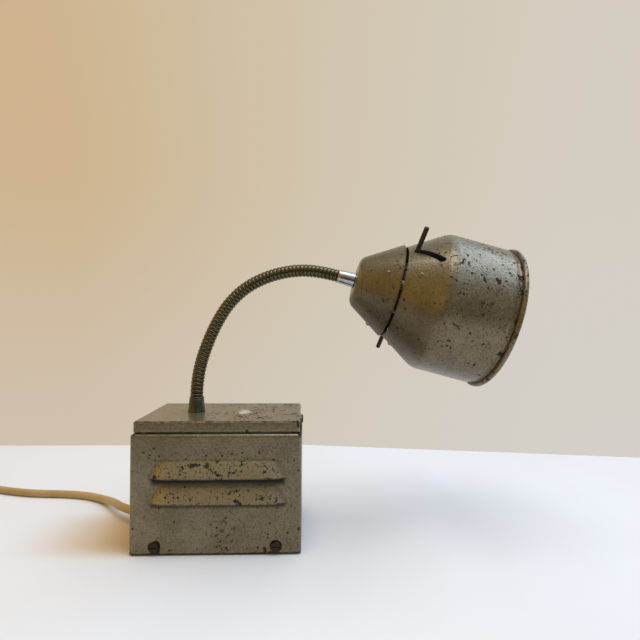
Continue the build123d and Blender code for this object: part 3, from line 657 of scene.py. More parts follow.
def rounded_line(corners, radii, steps=10):
    """A 2-D line whose inner corners are replaced by arcs."""
    corners = [np.array(c, float) for c in corners]
    line = [corners[0]]
    for before, at, after, radius in zip(corners, corners[1:], corners[2:], radii):
        into = (at - before) / np.linalg.norm(at - before)
        out = (after - at) / np.linalg.norm(after - at)
        turn = math.acos(float(np.clip(into @ out, -1, 1)))
        back = radius * math.tan(turn / 2)
        side = math.copysign(1.0, into[0] * out[1] - into[1] * out[0])
        centre = at - into * back + side * radius * np.array([-into[1], into[0]])
        start = at - into * back - centre
        for k in range(steps + 1):
            angle = side * turn * k / steps
            c, s = math.cos(angle), math.sin(angle)
            turned = (c * start[0] - s * start[1], s * start[0] + c * start[1])
            line.append(centre + np.array(turned))
    line.append(corners[-1])
    return np.array(line)


def refined(line, step):
    """The line with points added so that no run is longer than step."""
    out = [line[0]]
    for a, b in zip(line, line[1:]):
        count = max(1, int(math.ceil(np.linalg.norm(b - a) / step)))
        out += [a + (b - a) * k / count for k in range(1, count + 1)]
    return np.array(out)


def offset(line, distance):
    """The line moved to its left, point by point."""
    run = np.gradient(line, axis=0)
    run /= np.linalg.norm(run, axis=1)[:, None]
    return line + distance * np.c_[-run[:, 1], run[:, 0]]


# ---- the head's own axes: s along it, radius out, angle from its upper side ------------------
def neck_line():
    """Start, bending points and end of the neck, in metres."""
    x, z = NECK_START
    line = [(x, z)]
    for i, lean in enumerate(NECK_LEANS):
        run = NECK_LINK / 2 if i in (0, len(NECK_LEANS) - 1) else NECK_LINK
        x += run * math.sin(math.radians(lean))
        z += run * math.cos(math.radians(lean))
        line.append((x, z))
    return [Vector((px * MM, 0.0, pz * MM)) for px, pz in line]


TILT = math.radians(NECK_LEANS[-1])
AXIS = Vector((math.sin(TILT), 0.0, math.cos(TILT)))
UPPER = Vector((-math.cos(TILT), 0.0, math.sin(TILT)))
NEAR = Vector((0.0, -1.0, 0.0))
CAP_BACK = -0.030
END_FERRULE = 0.0137
HEAD = neck_line()[-1] + AXIS * (END_FERRULE - CAP_BACK)
SHADE_START = (0.036378, 0.0026)
SHADE_RADIUS = 0.0549
SHOULDER_S = 0.0317
RIM_S = 0.0854
LEVER_ANGLE = 39.0
LEVER_TURN = 19.5
LEVER_S = 0.0079
LEVER_TRAVEL = 0.016


def on_head(radius, s, angle):
    """The place at a radius, a distance along the lamp and an angle in degrees."""
    t = math.radians(angle)
    return HEAD + AXIS * s + UPPER * (radius * math.cos(t)) + NEAR * (radius * math.sin(t))


def spun(name, outline, slot, body, replaces, turns=192, sharp=40.0, closed=True):
    """A closed (radius, s) outline spun round the head's axis."""
    points = [
        on_head(r, s, 360.0 * i / turns) for r, s in outline for i in range(turns)
    ]
    faces = rows_to_faces(len(outline), turns, True, closed)
    return add_mesh(name, points, faces, slot, body, replaces, sharp)


def faces_inwards(piece):
    """1 on points of a head piece whose surface faces the head's axis, and 0 elsewhere."""
    p = points_of(piece) - np.array(HEAD)
    out = p - np.outer(p @ np.array(AXIS), np.array(AXIS))
    flat = np.zeros(len(p) * 3, np.float32)
    piece.data.vertex_normals.foreach_get("vector", flat)
    return ((flat.reshape(-1, 3) * out).sum(1) < -0.2 * np.linalg.norm(out, axis=1)) * 1.0


def shade_radius(s):
    """Outside radius of the shade's cone."""
    slope = (SHADE_RADIUS - SHADE_START[0]) / (SHOULDER_S - SHADE_START[1])
    return SHADE_START[0] + (s - SHADE_START[1]) * slope


# ---- box -------------------------------------------------------------------------------------
def plan_of(width, depth, corner, step):
    """Points round a rounded rectangle with their outward normals, near side first."""
    plan = []
    for side in range(4):
        angle = -90.0 + 90.0 * side
        out = Vector((math.cos(math.radians(angle)), math.sin(math.radians(angle))))
        along = Vector((-out.y, out.x))
        wide, deep = (width, depth) if side % 2 == 0 else (depth, width)
        half, reach = wide / 2 - corner, deep / 2
        count = int(round(2 * half / step))
        for k in range(count):
            plan.append((out * reach + along * (-half + 2 * half * k / count), out))
        centre = out * (reach - corner) + along * half
        for k in range(6):
            turn = math.radians(angle + 90.0 * k / 6)
            normal = Vector((math.cos(turn), math.sin(turn)))
            plan.append((centre + normal * corner, normal))
    return plan


def louvre_bulge(along, height, rise, out):
    """How far the pressed hood stands out at a place on the wall, above its lip."""
    up = np.clip(height / rise, 0.0, 1.0)
    wide = LOUVRE_HALF + (LOUVRE_TOP_HALF - LOUVRE_HALF) * up
    end = np.clip((wide - np.abs(along)) / (wide - LOUVRE_FLAT), 0.0, 1.0)
    crown = np.sqrt(np.clip(1.0 - up**2, 0.0, 1.0)) * 0.4 + (1.0 - up) * 0.6
    return out * crown * np.sin(end * math.pi / 2) ** 0.9


class LampStage(bpy.types.Operator):
    """Camera, lights, surroundings and floor"""

    bl_idname = "bench_lamp.stage"
    bl_label = "Stage"

    def execute(self, context):
        look = context.scene.lamp_studio
        camera = bpy.data.objects.new("camera", bpy.data.cameras.new("camera"))
        context.scene.collection.objects.link(camera)
        camera.location = CAMERA_PLACE
        camera.data.lens = CAMERA_LENS
        camera.data.sensor_width = CAMERA_SENSOR
        camera.data.clip_start = 0.01
        yaw, pitch, roll = (math.radians(a) for a in CAMERA_TURN)
        turn = Matrix.Rotation(yaw, 4, "Z") @ Matrix.Rotation(pitch, 4, "X")
        camera.rotation_euler = (turn @ Matrix.Rotation(roll, 4, "Z")).to_euler()
        context.scene.camera = camera
        context.scene.view_settings.view_transform = "Standard"

        corners = [(x, y, 0.0) for x, y in FLOOR_CORNERS]
        drop = [(x, y + 0.004, -FLOOR_DROP) for x, y in FLOOR_CORNERS[2:]]
        floor = add_mesh(
            "floor",
            corners + drop,
            [(0, 1, 2, 3, 4), (3, 2, 5, 6), (4, 3, 6, 7)],
            None,
            material=cloth("lamp_cloth", tuple(look.cloth)),
        )
        self.surround(context, look)
        self.light(context, "window", (0.85, -0.05, 0.95), 0.7, look.window, (0.80, 0.90, 1.0))
        self.light(context, "lamp", (-0.75, 0.15, 0.55), 0.5, look.lamp, (1.0, 0.78, 0.48))
        self.light(context, "overhead", (0.10, -0.22, 1.05), 0.50, look.sky, (1.0, 0.97, 0.92))
        return {"FINISHED"}

    def light(self, context, name, place, size, power, tint):
        """A square light that faces the lamp."""
        lamp = bpy.data.lights.new(name, "AREA")
        lamp.size = size
        lamp.energy = power
        lamp.color = tint
        made = bpy.data.objects.new(name, lamp)
        made.location = place
        aim = Vector(LIGHT_AIM) - Vector(place)
        made.rotation_euler = aim.to_track_quat("-Z", "Y").to_euler()
        context.scene.collection.objects.link(made)

    def surround(self, context, look):
        """The room around the lamp: a plain wall beyond it, and what its gloss reflects."""
        world = bpy.data.worlds.new("surroundings")
        context.scene.world = world
        f = Finish("surroundings", world)
        way = f.node("ShaderNodeTexCoord", output="Generated")
        parts = f.node("ShaderNodeSeparateXYZ", None, {0: way}).socket.node.outputs
        x, y, z = [Value(f, out) for out in parts]
        stops = [
            (0.0, look.wall_left),
            (0.28, look.wall_left),
            (0.50, look.wall_middle),
            (0.74, look.wall_right),
        ]
        stops = [(position, tuple(tint)) for position, tint in stops]
        wall = f.node("ShaderNodeValToRGB", {"stops": stops}, {0: x * 0.5 + 0.5})
        dome = f.step(z, 0.38, 0.88)
        right = f.step(x, -0.05, 0.55)
        room = f.blend(f.step(z, -0.05, 0.30), tuple(look.room), tuple(look.curtain))
        room = f.blend(dome, room, tuple(look.ceiling))
        room = f.blend(right * (dome * 0.93 + 0.07), room, tuple(look.daylight))
        dx, dy, dz = x + 0.76, y + 0.50, z - 0.42
        away = dx * dx + dy * dy + dz * dz
        room = f.blend(1.0 - f.step(away, 0.0, 0.55), room, tuple(look.glow))
        low = f.step(z, 0.85, 0.64)
        wall = f.blend(f.step(z, 0.35, -0.25) * 0.38, wall, (0.66, 0.66, 0.65))
        shown = f.blend(f.step(y, -0.15, 0.35) * low, room, wall)
        light = f.node("ShaderNodeBackground", None, {"Color": shown, "Strength": 1.0})
        f.node("ShaderNodeOutputWorld", None, {"Surface": light})


class LampCord(bpy.types.Operator):
    """The mains cord: its run on the table, the coil of its spare length and its tail"""

    bl_idname = "bench_lamp.cord"
    bl_label = "Cord"

    TURN_POINTS = 24
    JOG_START, JOG_END = 20.0, 80.0

    def coil(self):
        """The coil's points: four turns inwards on the table, then outwards on top of them."""
        swell = 2.0 / (1.0 + math.cos(math.pi / self.TURN_POINTS))
        lanes = [(r, COIL_LOW_Z) for r in COIL_LOW_RADII]
        lanes += [(r, COIL_HIGH_Z) for r in COIL_HIGH_RADII]
        step = 360.0 / self.TURN_POINTS
        points = []
        angle, last = COIL_START_TURN, 360.0 * (len(lanes) - 1) + COIL_END_TURN
        while angle <= last:
            turn, local = divmod(angle, 360.0)
            lane = int(turn)
            if local < self.JOG_START and lane > 0:
                lane -= 1
                radius, z = lanes[lane]
            elif local <= self.JOG_END and lane > 0:
                (r0, z0), (r1, z1) = lanes[lane - 1], lanes[lane]
                part = (local - self.JOG_START) / (self.JOG_END - self.JOG_START)
                radius = r0 + (r1 - r0) * float(ease(part))
                z = z0
                if z1 > z0:
                    radius, z = COIL_CLIMB[min(2, int(part * 3))]
                elif z0 > COIL_LOW_Z:
                    z = z0 + 0.0009 * math.sin(math.pi * part)
            else:
                radius, z = lanes[lane]
            t = math.radians(angle)
            reach = radius * swell
            x, y = COIL_CENTRE[0] + reach * math.cos(t), COIL_CENTRE[1] + reach * math.sin(t)
            points.append((x, y, z))
            angle += step
        return points

    def execute(self, context):
        sizes = context.scene.lamp_cord
        route = list(CORD_ROUTE) + self.coil() + list(CORD_TAIL)
        line = bpy.data.curves.new("mains_cord", "CURVE")
        line.dimensions = "3D"
        line.bevel_depth = sizes.diameter / 2
        line.bevel_resolution = 6
        line.resolution_u = 10
        spline = line.splines.new("NURBS")
        spline.points.add(len(route) - 1)
        for point, place in zip(spline.points, route):
            point.co = (*place, 1.0)
        spline.order_u = 3
        spline.use_endpoint_u = True
        line.materials.append(finish_for("cord_rubber"))
        cord = bpy.data.objects.new("mains_cord", line)
        context.scene.collection.objects.link(cord)
        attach(cord, "base")
        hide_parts("cord", "cord_tail", "cord_coil")
        return {"FINISHED"}


class LampHousing(bpy.types.Operator):
    """The folded steel housing with its pressed louvres"""

    bl_idname = "bench_lamp.housing"
    bl_label = "Housing"

    def execute(self, context):
        s = context.scene.lamp_box
        plan = plan_of(s.width, s.depth, s.corner, 0.0012)
        across = np.array([p.x for p, _ in plan])
        normals = np.array([tuple(n) for _, n in plan])
        base = np.array([tuple(p) for p, _ in plan])
        facing = np.abs(normals[:, 1]) > 0.999
        sign = np.where(normals[:, 1] < 0, 1.0, -1.0)
        along = across * sign - LOUVRE_X
        straight = s.top - s.edge
        heights = [s.foot, s.foot + 0.0004]
        z = s.foot + 0.0012
        while z < straight:
            heights.append(z)
            z += 0.0011
        heights = [h for h in heights if all(abs(h - lip) > 0.0004 for lip in LOUVRE_LIPS)]
        rows = [(h, 0.0, False) for h in heights] + [(straight, 0.0, False)]
        rows += [(lip, 0.0, hood) for hood in (False, True) for lip in LOUVRE_LIPS]
        rows.sort(key=lambda row: (row[0], row[2]))
        for k in range(1, 6):
            t = math.radians(90.0 * k / 5)
            rows.append((straight + s.edge * math.sin(t), s.edge * (1 - math.cos(t)), False))
        rows.append((s.top, 0.007, False))
        points, skip = [], []
        for j, (height, inset, hood) in enumerate(rows):
            bulge = np.zeros(len(plan))
            for lip in LOUVRE_LIPS:
                above = height - lip
                if 0.0 <= above <= s.louvre_rise and (above > 1e-6 or hood):
                    hump = louvre_bulge(along, above, s.louvre_rise, s.louvre_out)
                    bulge = bulge + hump * facing
            place = base + normals * (bulge - inset)[:, None]
            points += [(x, y, height) for x, y in place]
            if hood:
                skip.append(j - 1)
        faces = rows_to_faces(len(rows), len(plan), True, False, skip)
        replaced = ["base_housing"]
        housing = add_mesh("housing", points, faces, "hammer_paint", "base", replaced, 50.0)
        weld = housing.modifiers.new("weld", "WELD")
        weld.merge_threshold = 0.00001
        solid = housing.modifiers.new("thickness", "SOLIDIFY")
        solid.thickness = s.sheet
        solid.offset = -1.0
        baked(housing)
        self.wear(housing, s)
        self.tabs(context, s)
        return {"FINISHED"}

    def wear(self, housing, s):
        """Marks the chipped edges and hoods, the painted shadow under the louvres, the painted dark
        line along their lips, and the painted light on their faces.
        """
        p = points_of(housing)
        x, y, z = p.T
        out = np.abs(y) - s.depth / 2
        hood = ease(out / 0.003)
        low = ease((0.014 - z) / 0.014)
        right = ease((x - 0.015) / 0.045) * ease((0.045 - z) / 0.03)
        middle = ease(1 - np.abs(x) / 0.03) * ease(1 - np.abs(z - 0.018) / 0.016)
        wear = 0.12 + 0.62 * hood + 0.30 * low + 0.28 * right + 0.25 * middle
        wear += 0.20 * ease(1 - (s.louvre_rise + 0.056 - z) ** 2 / 0.00006) * (out > -0.001)
        corner = ease(1 - (s.width / 2 - np.abs(x)) / 0.002) * ease(
            1 - (s.depth / 2 - np.abs(y)) / 0.002
        )
        edge = 0.55 * corner
        edge += 0.9 * ease((0.0028 - z) / 0.0016) + 0.35 * ease((z - 0.083) / 0.0015)
        for lip in LOUVRE_LIPS:
            edge += 0.45 * hood * ease(1 - np.abs(z - lip) / 0.0012)
        chip = ease(1 - (s.width / 2 - x) / 0.005) * ease((z - 0.0815) / 0.002) * (y < 0)
        outside = np.abs(y) > s.depth / 2 - 0.002
        for screw in (-BOX_SCREW_X, BOX_SCREW_X):
            away = np.hypot(x - screw, z - BOX_SCREW_Z)
            edge += 0.95 * ease(1 - (away - 0.0034) / 0.0028) * outside
        along = np.abs(x * np.where(y < 0, 1.0, -1.0) - LOUVRE_X)
        # Painted shadow on the wall under each lip, fading downwards.
        below = np.zeros(len(p))
        for lip, depth, share in zip(LOUVRE_LIPS, (0.0050, 0.0032), (1.0, 0.75)):
            reach = share * ease(1.45 - (lip - z) / depth) * (z < lip + 0.0006)
            below = np.maximum(below, reach * ease((LOUVRE_HALF + 0.0005 - along) / 0.004))
        wall = (np.abs(y) > s.depth / 2 - 0.0002) & (out < 0.0006)
        # A painted dark line of shade along each lip.
        at_lip = np.zeros(len(p))
        for lip in LOUVRE_LIPS:
            at_lip = np.maximum(at_lip, ease(1 - np.abs(z - lip) / 0.0009) * hood)
        mark(
            housing,
            soot=np.maximum(below * wall, 0.75 * at_lip),
            # Painted light on the louvre faces, not on their lips.
            polish=0.52 * hood * (1 - at_lip),
            wear=wear,
            edge=edge + chip,
            rust=0.5 * edge + 0.25 * hood * ease((-x - 0.02) / 0.03),
        )

    def tabs(self, context, s):
        """The two tongues that rise beside the lid and take its screws."""
        points, faces = [], []
        half, low, high, round_off = 0.008, s.top - 0.004, 0.0902, 0.0025
        outline = rounded_line(
            [(-half, low), (-half, high), (half, high), (half, low)], [round_off] * 2, 6
        )
        for side in (-1, 1):
            start = len(points)
            count = len(outline)
            for depth in (0.0, 0.0002, s.sheet):
                shrink = 0.0002 if depth == 0.0 else 0.0
                for y, z in outline:
                    k = 1.0 - shrink / half
                    points.append((side * (s.width / 2 - depth), y * k, z - shrink))
            for j in range(2):
                for i in range(count - 1):
                    a = start + j * count + i
                    quad = (a, a + 1, a + 1 + count, a + count)
                    faces.append(quad[::-1] if side < 0 else quad)
            cap = tuple(range(start, start + count))
            faces.append(cap if side < 0 else cap[::-1])
            back = tuple(range(start + 2 * count, start + 3 * count))
            faces.append(back[::-1] if side < 0 else back)
        tabs = add_mesh("housing_tabs", points, faces, "hammer_paint", "base", (), 40.0)
        mark(tabs, wear=0.3, edge=0.25, rust=0.25)


class LampLid(bpy.types.Operator):
    """The shallow pressed lid"""

    bl_idname = "bench_lamp.lid"
    bl_label = "Lid"

    def execute(self, context):
        s = context.scene.lamp_box
        plan = plan_of(s.lid_width, s.lid_depth, s.corner, 0.0016)
        rows = [(s.lid_low, 0.0)]
        straight = s.lid_top - s.lid_edge
        count = 4
        rows += [(s.lid_low + (straight - s.lid_low) * k / count, 0.0) for k in range(1, count + 1)]
        for k in range(1, 7):
            t = math.radians(90.0 * k / 6)
            rows.append((straight + s.lid_edge * math.sin(t), s.lid_edge * (1 - math.cos(t))))
        points = []
        for height, inset in rows:
            points += [(p.x - n.x * inset, p.y - n.y * inset, height) for p, n in plan]
        ring = points[-len(plan):]
        rings = 24
        for k in range(1, rings):
            part = k / rings
            points += [(x * (1 - part), y * (1 - part), z) for x, y, z in ring]
        faces = rows_to_faces(len(rows) + rings - 1, len(plan))
        points.append((0.0, 0.0, s.lid_top))
        last = (len(rows) + rings - 2) * len(plan)
        for i in range(len(plan)):
            faces.append((last + i, last + (i + 1) % len(plan), len(points) - 1))
        paint = hammer_paint("lamp_lid_paint", SCUFF_ON_LID)
        lid = add_mesh("lid_shell", points, faces, "hammer_paint", "base", ["lid"], 50.0, paint)
        solid = lid.modifiers.new("thickness", "SOLIDIFY")
        solid.thickness = s.sheet
        solid.offset = -1.0
        baked(lid)
        p = points_of(lid)
        x, y, z = p.T
        top = ease((z - straight) / s.lid_edge)
        near = ease(1 - (s.lid_depth / 2 + y) / 0.004)
        wear = 0.14 + 0.60 * top * ease((x + 0.05) / 0.07)
        rim = ease(1 - np.abs(z - s.lid_top + 0.0004) / 0.0011) * (
            1 - ease((s.lid_width / 2 - np.abs(x) - 0.0016) / 0.0012)
            * ease((s.lid_depth / 2 - np.abs(y) - 0.0016) / 0.0012)
        )
        chip = ease(1 - (s.lid_width / 2 - x) / 0.0045) * near * ease((z - 0.0875) / 0.002)
        mark(lid, wear=wear, edge=(0.46 + 0.25 * near) * rim + 1.2 * chip, rust=0.2 * rim)
        return {"FINISHED"}


class LampNeck(bpy.types.Operator):
    """The wound neck, in ten lengths that each bend between two links"""

    bl_idname = "bench_lamp.neck"
    bl_label = "Neck"

    ROUND = 48
    PER_PITCH = 12
    GRID = 64
    NUDGE = 1e-5
    NUDGE_TURN = 0.01

    def execute(self, context):
        s = context.scene.lamp_neck
        line = neck_line()
        joints = len(NECK_LEANS) - 1
        middles = [line[0]]
        middles += [(line[k] + line[k + 1]) / 2 for k in range(1, joints)]
        middles.append(line[-1])
        travelled = 0.0
        for k in range(1, joints + 1):
            start, knee, end = middles[k - 1], line[k], middles[k]
            t = np.linspace(0.0, 1.0, self.GRID)
            curve = self.curve(start, knee, end, t)
            steps = np.r_[0.0, np.cumsum(np.linalg.norm(np.diff(curve, axis=0), axis=1))]
            count = max(8, int(round(steps[-1] / s.pitch * self.PER_PITCH)))
            at = np.interp(np.linspace(0.0, steps[-1], count + 1), steps, t)
            points, bottoms = self.tube(start, knee, end, at, travelled, steps[-1], s)
            normals = self.normals(start, knee, end, at, travelled, steps[-1], s)
            faces = [f[::-1] for f in rows_to_faces(count + 1, self.ROUND)]
            replaced = [f"neck_link_{k - 1:02d}"] + (["neck_link_10"] if k == joints else [])
            name = f"neck_winding_{k:02d}"
            part = add_mesh(name, points, faces, "neck_chrome", None, replaced, 180.0)
            mark(part, groove=bottoms)
            part.data.normals_split_custom_set_from_vertices([tuple(n) for n in normals])
            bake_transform(part)
            travelled += steps[-1]
        return {"FINISHED"}

    def curve(self, start, knee, end, t):
        """Points on the arc from start to end that leans towards the knee."""
        a, b, c = (np.array(p) for p in (start, knee, end))
        t = np.asarray(t)[:, None]
        return (1 - t) ** 2 * a + 2 * t * (1 - t) * b + t**2 * c

    def tube(self, start, knee, end, at, travelled, whole, s, shift=0.0, turn=0.0):
        """Points of a helically ribbed tube, and how deep in a groove each one lies."""
        a, b, c = (np.array(p) for p in (start, knee, end))
        t = at[:, None]
        middle = self.curve(start, knee, end, at)
        run = (1 - t) * (b - a) + t * (c - b)
        run /= np.linalg.norm(run, axis=1)[:, None]
        up = np.array([0.0, 1.0, 0.0])
        side = np.cross(run, up)
        along = travelled + np.linspace(0.0, whole, len(at)) + shift
        middle = middle + run * shift
        round_off = np.linspace(0.0, 2 * math.pi, self.ROUND, endpoint=False) + turn
        phase = along[:, None] / s.pitch - round_off[None, :] / (2 * math.pi)
        across = 2.0 * (phase - np.floor(phase)) - 1.0
        crown = np.sqrt(np.clip(1.0 - np.abs(across) ** 2.6, 0.0, 1.0))
        radius = s.radius - s.groove * (1.0 - crown)
        ring = (
            side[:, None, :] * np.cos(round_off)[None, :, None]
            + up[None, None, :] * np.sin(round_off)[None, :, None]
        )
        points = middle[:, None, :] + ring * radius[:, :, None]
        return points.reshape(-1, 3), (1.0 - crown).reshape(-1)

    def normals(self, start, knee, end, at, travelled, whole, s):
        """The surface's own normals, so that neighbouring lengths shade as one."""
        args = (start, knee, end, at, travelled, whole, s)
        move, turn = self.NUDGE, self.NUDGE_TURN
        ahead = self.tube(*args, shift=move)[0] - self.tube(*args, shift=-move)[0]
        about = self.tube(*args, turn=turn)[0] - self.tube(*args, turn=-turn)[0]
        normals = np.cross(ahead, about)
        return normals / np.maximum(np.linalg.norm(normals, axis=1), 1e-12)[:, None]


class LampFerrules(bpy.types.Operator):
    """The polished ferrules at the two ends of the neck"""

    bl_idname = "bench_lamp.ferrules"
    bl_label = "Ferrules"

    def execute(self, context):
        s = context.scene.lamp_neck
        low = Vector((NECK_START[0] * MM, 0.0, context.scene.lamp_box.lid_top))
        h = s.ferrule
        outline = [
            (0.0042, 0.0), (0.0066, 0.0), (0.00668, 0.0003), (0.00655, 0.0009),
            (0.00612, 0.0050), (0.00575, 0.0088), (0.00560, 0.0101), (0.00548, 0.0103),
            (0.00562, 0.0105), (0.00566, 0.0110), (0.00560, 0.0115), (0.00540, h - 0.0005),
            (0.00510, h - 0.0003), (0.0042, h - 0.0003),
        ]
        # The lid's ferrule gets a darker chrome: some tarnish, and painted shade for the dark
        # surroundings it reflects.
        tint = context.scene.lamp_metals.aged_chrome
        tarnish_and_shade = metal("lamp_aged_chrome", tint, 0.26, 0.0009, (0.05, 0.035, 0.015), 0.5)
        up = Vector((0, 0, 1))
        self.turned("ferrule_on_lid", outline, low, up, "base", "base_ferrule", tarnish_and_shade)
        start = HEAD + AXIS * (CAP_BACK - END_FERRULE)
        e = END_FERRULE
        outline = [
            (0.0032, 0.0), (0.0051, 0.0), (0.0053, 0.0003), (0.00545, 0.0010),
            (0.00520, 0.0016), (0.00545, 0.0022), (0.00560, 0.0060), (0.00585, 0.0110),
            (0.00595, e - 0.0009), (0.00600, e - 0.0004), (0.00585, e), (0.0032, e),
        ]
        self.turned("ferrule_on_cap", outline, start, AXIS, "head", "end_ferrule")
        return {"FINISHED"}

    def turned(self, name, outline, origin, axis, body, node, material=None):
        """A closed (radius, height) outline turned about an axis."""
        turns = 64
        side = Vector((0.0, 1.0, 0.0))
        other = axis.cross(side)
        points = []
        for radius, height in outline:
            for i in range(turns):
                t = 2 * math.pi * i / turns
                out = other * math.cos(t) + side * math.sin(t)
                points.append(origin + axis * height + out * radius)
        faces = [f[::-1] for f in rows_to_faces(len(outline), turns, True, True)]
        add_mesh(name, points, faces, "chrome", body, [node], 35.0, material)


class LampRearCap(bpy.types.Operator):
    """The spun rear cap"""

    bl_idname = "bench_lamp.rear_cap"
    bl_label = "Rear cap"

    def execute(self, context):
        s = context.scene.lamp_head
        back, rim = (0.0185, CAP_BACK), (0.0375, 0.0)
        line = rounded_line([(0.0052, CAP_BACK), back, rim], [s.cap_corner], 14)
        line = refined(line, 0.002)
        lip = line[-1] + np.array([-s.wall / 2, 0.00035])
        outline = list(line) + [lip] + list(offset(line, s.wall)[::-1])
        cap = spun("cap_shell", outline, "hammer_paint", "head", ["rear_cap"])
        self.wear(cap)
        return {"FINISHED"}

    def wear(self, cap):
        """Marks the cap's rim and its wear, a painted darkening over the whole cap, and painted
        shade on its low side and inside.
        """
        p = points_of(cap) - np.array(HEAD)
        along = p @ np.array(AXIS)
        near_rim = ease((along + 0.0022) / 0.0020)
        low_side = ease(-(p @ np.array(UPPER)) / 0.030)
        wear = 0.24 + 0.30 * ease((along + 0.010) / 0.010) + 0.10 * low_side
        mark(
            cap,
            wear=wear,
            edge=0.30 * near_rim,
            rust=0.15 + 0.5 * near_rim,
            # Painted shade over the whole cap, and more on its low side and its inside.
            grime=0.42,
            soot=np.maximum(0.45 * low_side, faces_inwards(cap)),
        )


class LampFrontShade(bpy.types.Operator):
    """The spun front shade with its two slanting slots"""

    bl_idname = "bench_lamp.front_shade"
    bl_label = "Front shade"

    def execute(self, context):
        s = context.scene.lamp_head
        corners = [
            SHADE_START,
            (SHADE_RADIUS, SHOULDER_S),
            (SHADE_RADIUS, RIM_S - 0.009),
            (0.0540, RIM_S - 0.0062),
            (0.0540, RIM_S - 0.0039),
        ]
        line = rounded_line(corners, [s.shoulder, 0.004, 0.002], 12)
        line = refined(line, 0.002)
        bead = []
        for k in range(1, 17):
            t = math.radians(-107.5 + 332.5 * k / 17)
            centre = (SHADE_RADIUS - 0.0003, RIM_S - s.bead)
            bead.append((centre[0] + s.bead * math.cos(t), centre[1] + s.bead * math.sin(t)))
        inner = offset(line, s.wall)
        inner = inner[inner[:, 1] < RIM_S - 0.0035]
        outline = list(line) + bead + list(inner[::-1])
        shade = spun("shade_shell", outline, "hammer_paint", "head", ["front_shade"])
        cutters = [self.cutter(angle, s) for angle in (LEVER_ANGLE, LEVER_ANGLE + 180.0)]
        for cutter in cutters:
            cut = shade.modifiers.new("slot", "BOOLEAN")
            cut.operation = "DIFFERENCE"
            cut.solver = "EXACT"
            cut.object = cutter
        baked(shade, *cutters)
        shade.data.set_sharp_from_angle(angle=math.radians(40.0))
        self.wear(shade)
        return {"FINISHED"}

    def cutter(self, angle, s):
        """A prism with the slot's outline, through one side of the wall."""
        half = LEVER_TURN / 2
        spots = []
        for part in (0.0, 0.5, 1.0):
            along = LEVER_S + LEVER_TRAVEL * part
            turn = math.radians(LEVER_TURN * part - half)
            spots.append(np.array([shade_radius(along) * math.sin(turn), along]))
        knee = 2 * spots[1] - (spots[0] + spots[2]) / 2
        t = np.linspace(0, 1, 15)[:, None]
        middle = (1 - t) ** 2 * spots[0] + 2 * t * (1 - t) * knee + t**2 * spots[2]
        left, right = offset(middle, s.slot_width / 2), offset(middle, -s.slot_width / 2)
        outline = list(right)
        for end, spot, first in ((1, middle[-1], right[-1]), (0, middle[0], left[0])):
            if not end:
                outline += list(left[::-1])
            reach = first - spot
            for k in range(1, 10):
                a = math.pi * k / 10
                c, n = math.cos(a), math.sin(a)
                turned = (c * reach[0] - n * reach[1], n * reach[0] + c * reach[1])
                outline.append(spot + np.array(turned))
        t = math.radians(angle + half)
        out = UPPER * math.cos(t) + NEAR * math.sin(t)
        side = NEAR * math.cos(t) - UPPER * math.sin(t)
        points = []
        for radius in (0.025, 0.065):
            points += [HEAD + out * radius + side * y + AXIS * z for y, z in outline]
        n = len(outline)
        faces = [(i, (i + 1) % n, n + (i + 1) % n, n + i) for i in range(n)]
        faces += [tuple(range(n))[::-1], tuple(range(n, 2 * n))]
        return add_mesh("slot_cutter", points, faces, "hammer_paint")

    def wear(self, shade):
        """Marks the drum, the rusty groove at the rim, a painted darkening of the cone, and painted
        shade on the low side and inside.
        """
        p = points_of(shade) - np.array(HEAD)
        along = p @ np.array(AXIS)
        high = p @ np.array(UPPER)
        drum = ease((along - 0.020) / 0.02)
        rim = ease((along - RIM_S + 0.0075) / 0.003)
        wear = 0.28 + 0.20 * drum * ease((high + 0.02) / 0.04) + 0.12 * drum + 0.20 * rim
        start = ease(1 - (along - SHADE_START[1]) / 0.0022)
        groove = ease(1 - np.abs(along - RIM_S + 0.0045) / 0.0022)
        # Painted shade on the low side near the cap.
        below = 0.42 * ease(-high / 0.040) * (1 - ease((along - 0.016) / 0.018))
        mark(
            shade,
            wear=wear,
            edge=0.20 * start + 0.25 * groove + 0.10 * rim,
            rust=0.12 + 0.55 * groove + 0.15 * rim,
            # Painted shade darkening the cone, less on the drum.
            grime=0.34 * (1 - drum),
            soot=np.maximum(below, faces_inwards(shade)),
        )


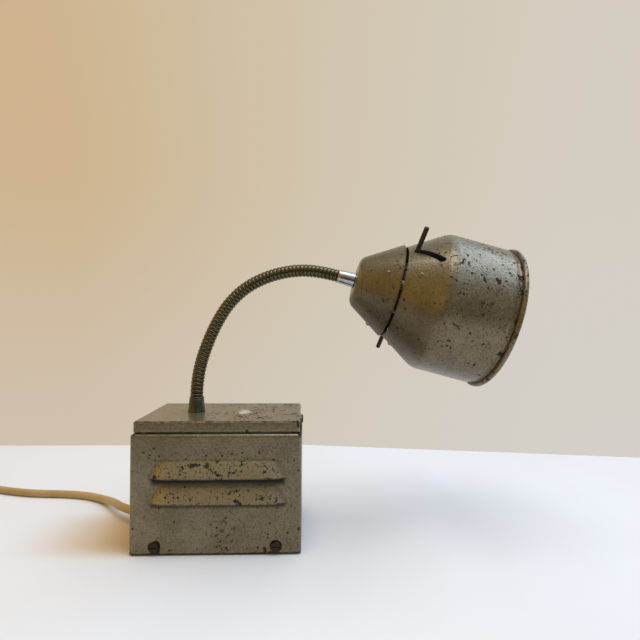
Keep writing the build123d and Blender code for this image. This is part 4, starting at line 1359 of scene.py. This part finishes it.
class LampFittings(bpy.types.Operator):
    """The finish of every part that keeps its own shape"""

    bl_idname = "bench_lamp.fittings"
    bl_label = "Fittings"

    def execute(self, context):
        slots = {p["node"]: p["material_slot"] for p in frame["record"]["subparts"]}
        for name, node in frame["nodes"].items():
            if name not in slots:
                raise RuntimeError(f"{name} has no material slot")
            node.data.materials.clear()
            node.data.materials.append(finish_for(slots[name]))
            if slots[name] == "hammer_paint":
                mark(node, wear=0.2, edge=0.15, rust=0.1)
        return {"FINISHED"}


class LampPanel(bpy.types.Panel):
    """The lamp's sizes, finishes and pieces"""

    bl_idname = "VIEW3D_PT_bench_lamp"
    bl_label = "Bench spot lamp"
    bl_space_type = "VIEW_3D"
    bl_region_type = "UI"
    bl_category = "Lamp"

    def draw(self, context):
        for name in GROUPS:
            group = getattr(context.scene, name)
            column = self.layout.column(align=True)
            for key in group.bl_rna.properties.keys():
                if key not in ("rna_type", "name"):
                    column.prop(group, key)
        for operator in OPERATORS:
            self.layout.operator(operator.bl_idname)


GROUPS = {
    "lamp_box": BoxSizes,
    "lamp_neck": NeckSizes,
    "lamp_head": HeadSizes,
    "lamp_cord": CordSizes,
    "lamp_paint": Paint,
    "lamp_metals": Metals,
    "lamp_studio": Studio,
}
OPERATORS = (
    LampStage,
    LampCord,
    LampHousing,
    LampLid,
    LampNeck,
    LampFerrules,
    LampRearCap,
    LampFrontShade,
    LampFittings,
)


def register():
    for group in GROUPS.values():
        bpy.utils.register_class(group)
    for name, group in GROUPS.items():
        setattr(bpy.types.Scene, name, PointerProperty(type=group))
    for made in (*OPERATORS, LampPanel):
        bpy.utils.register_class(made)


def unregister():
    for made in (LampPanel, *reversed(OPERATORS)):
        bpy.utils.unregister_class(made)
    for name in GROUPS:
        delattr(bpy.types.Scene, name)
    for group in GROUPS.values():
        bpy.utils.unregister_class(group)


def main():
    register()
    for operator in OPERATORS:
        family, name = operator.bl_idname.split(".")
        getattr(getattr(bpy.ops, family), name)()


if __name__ == "__main__":
    main()
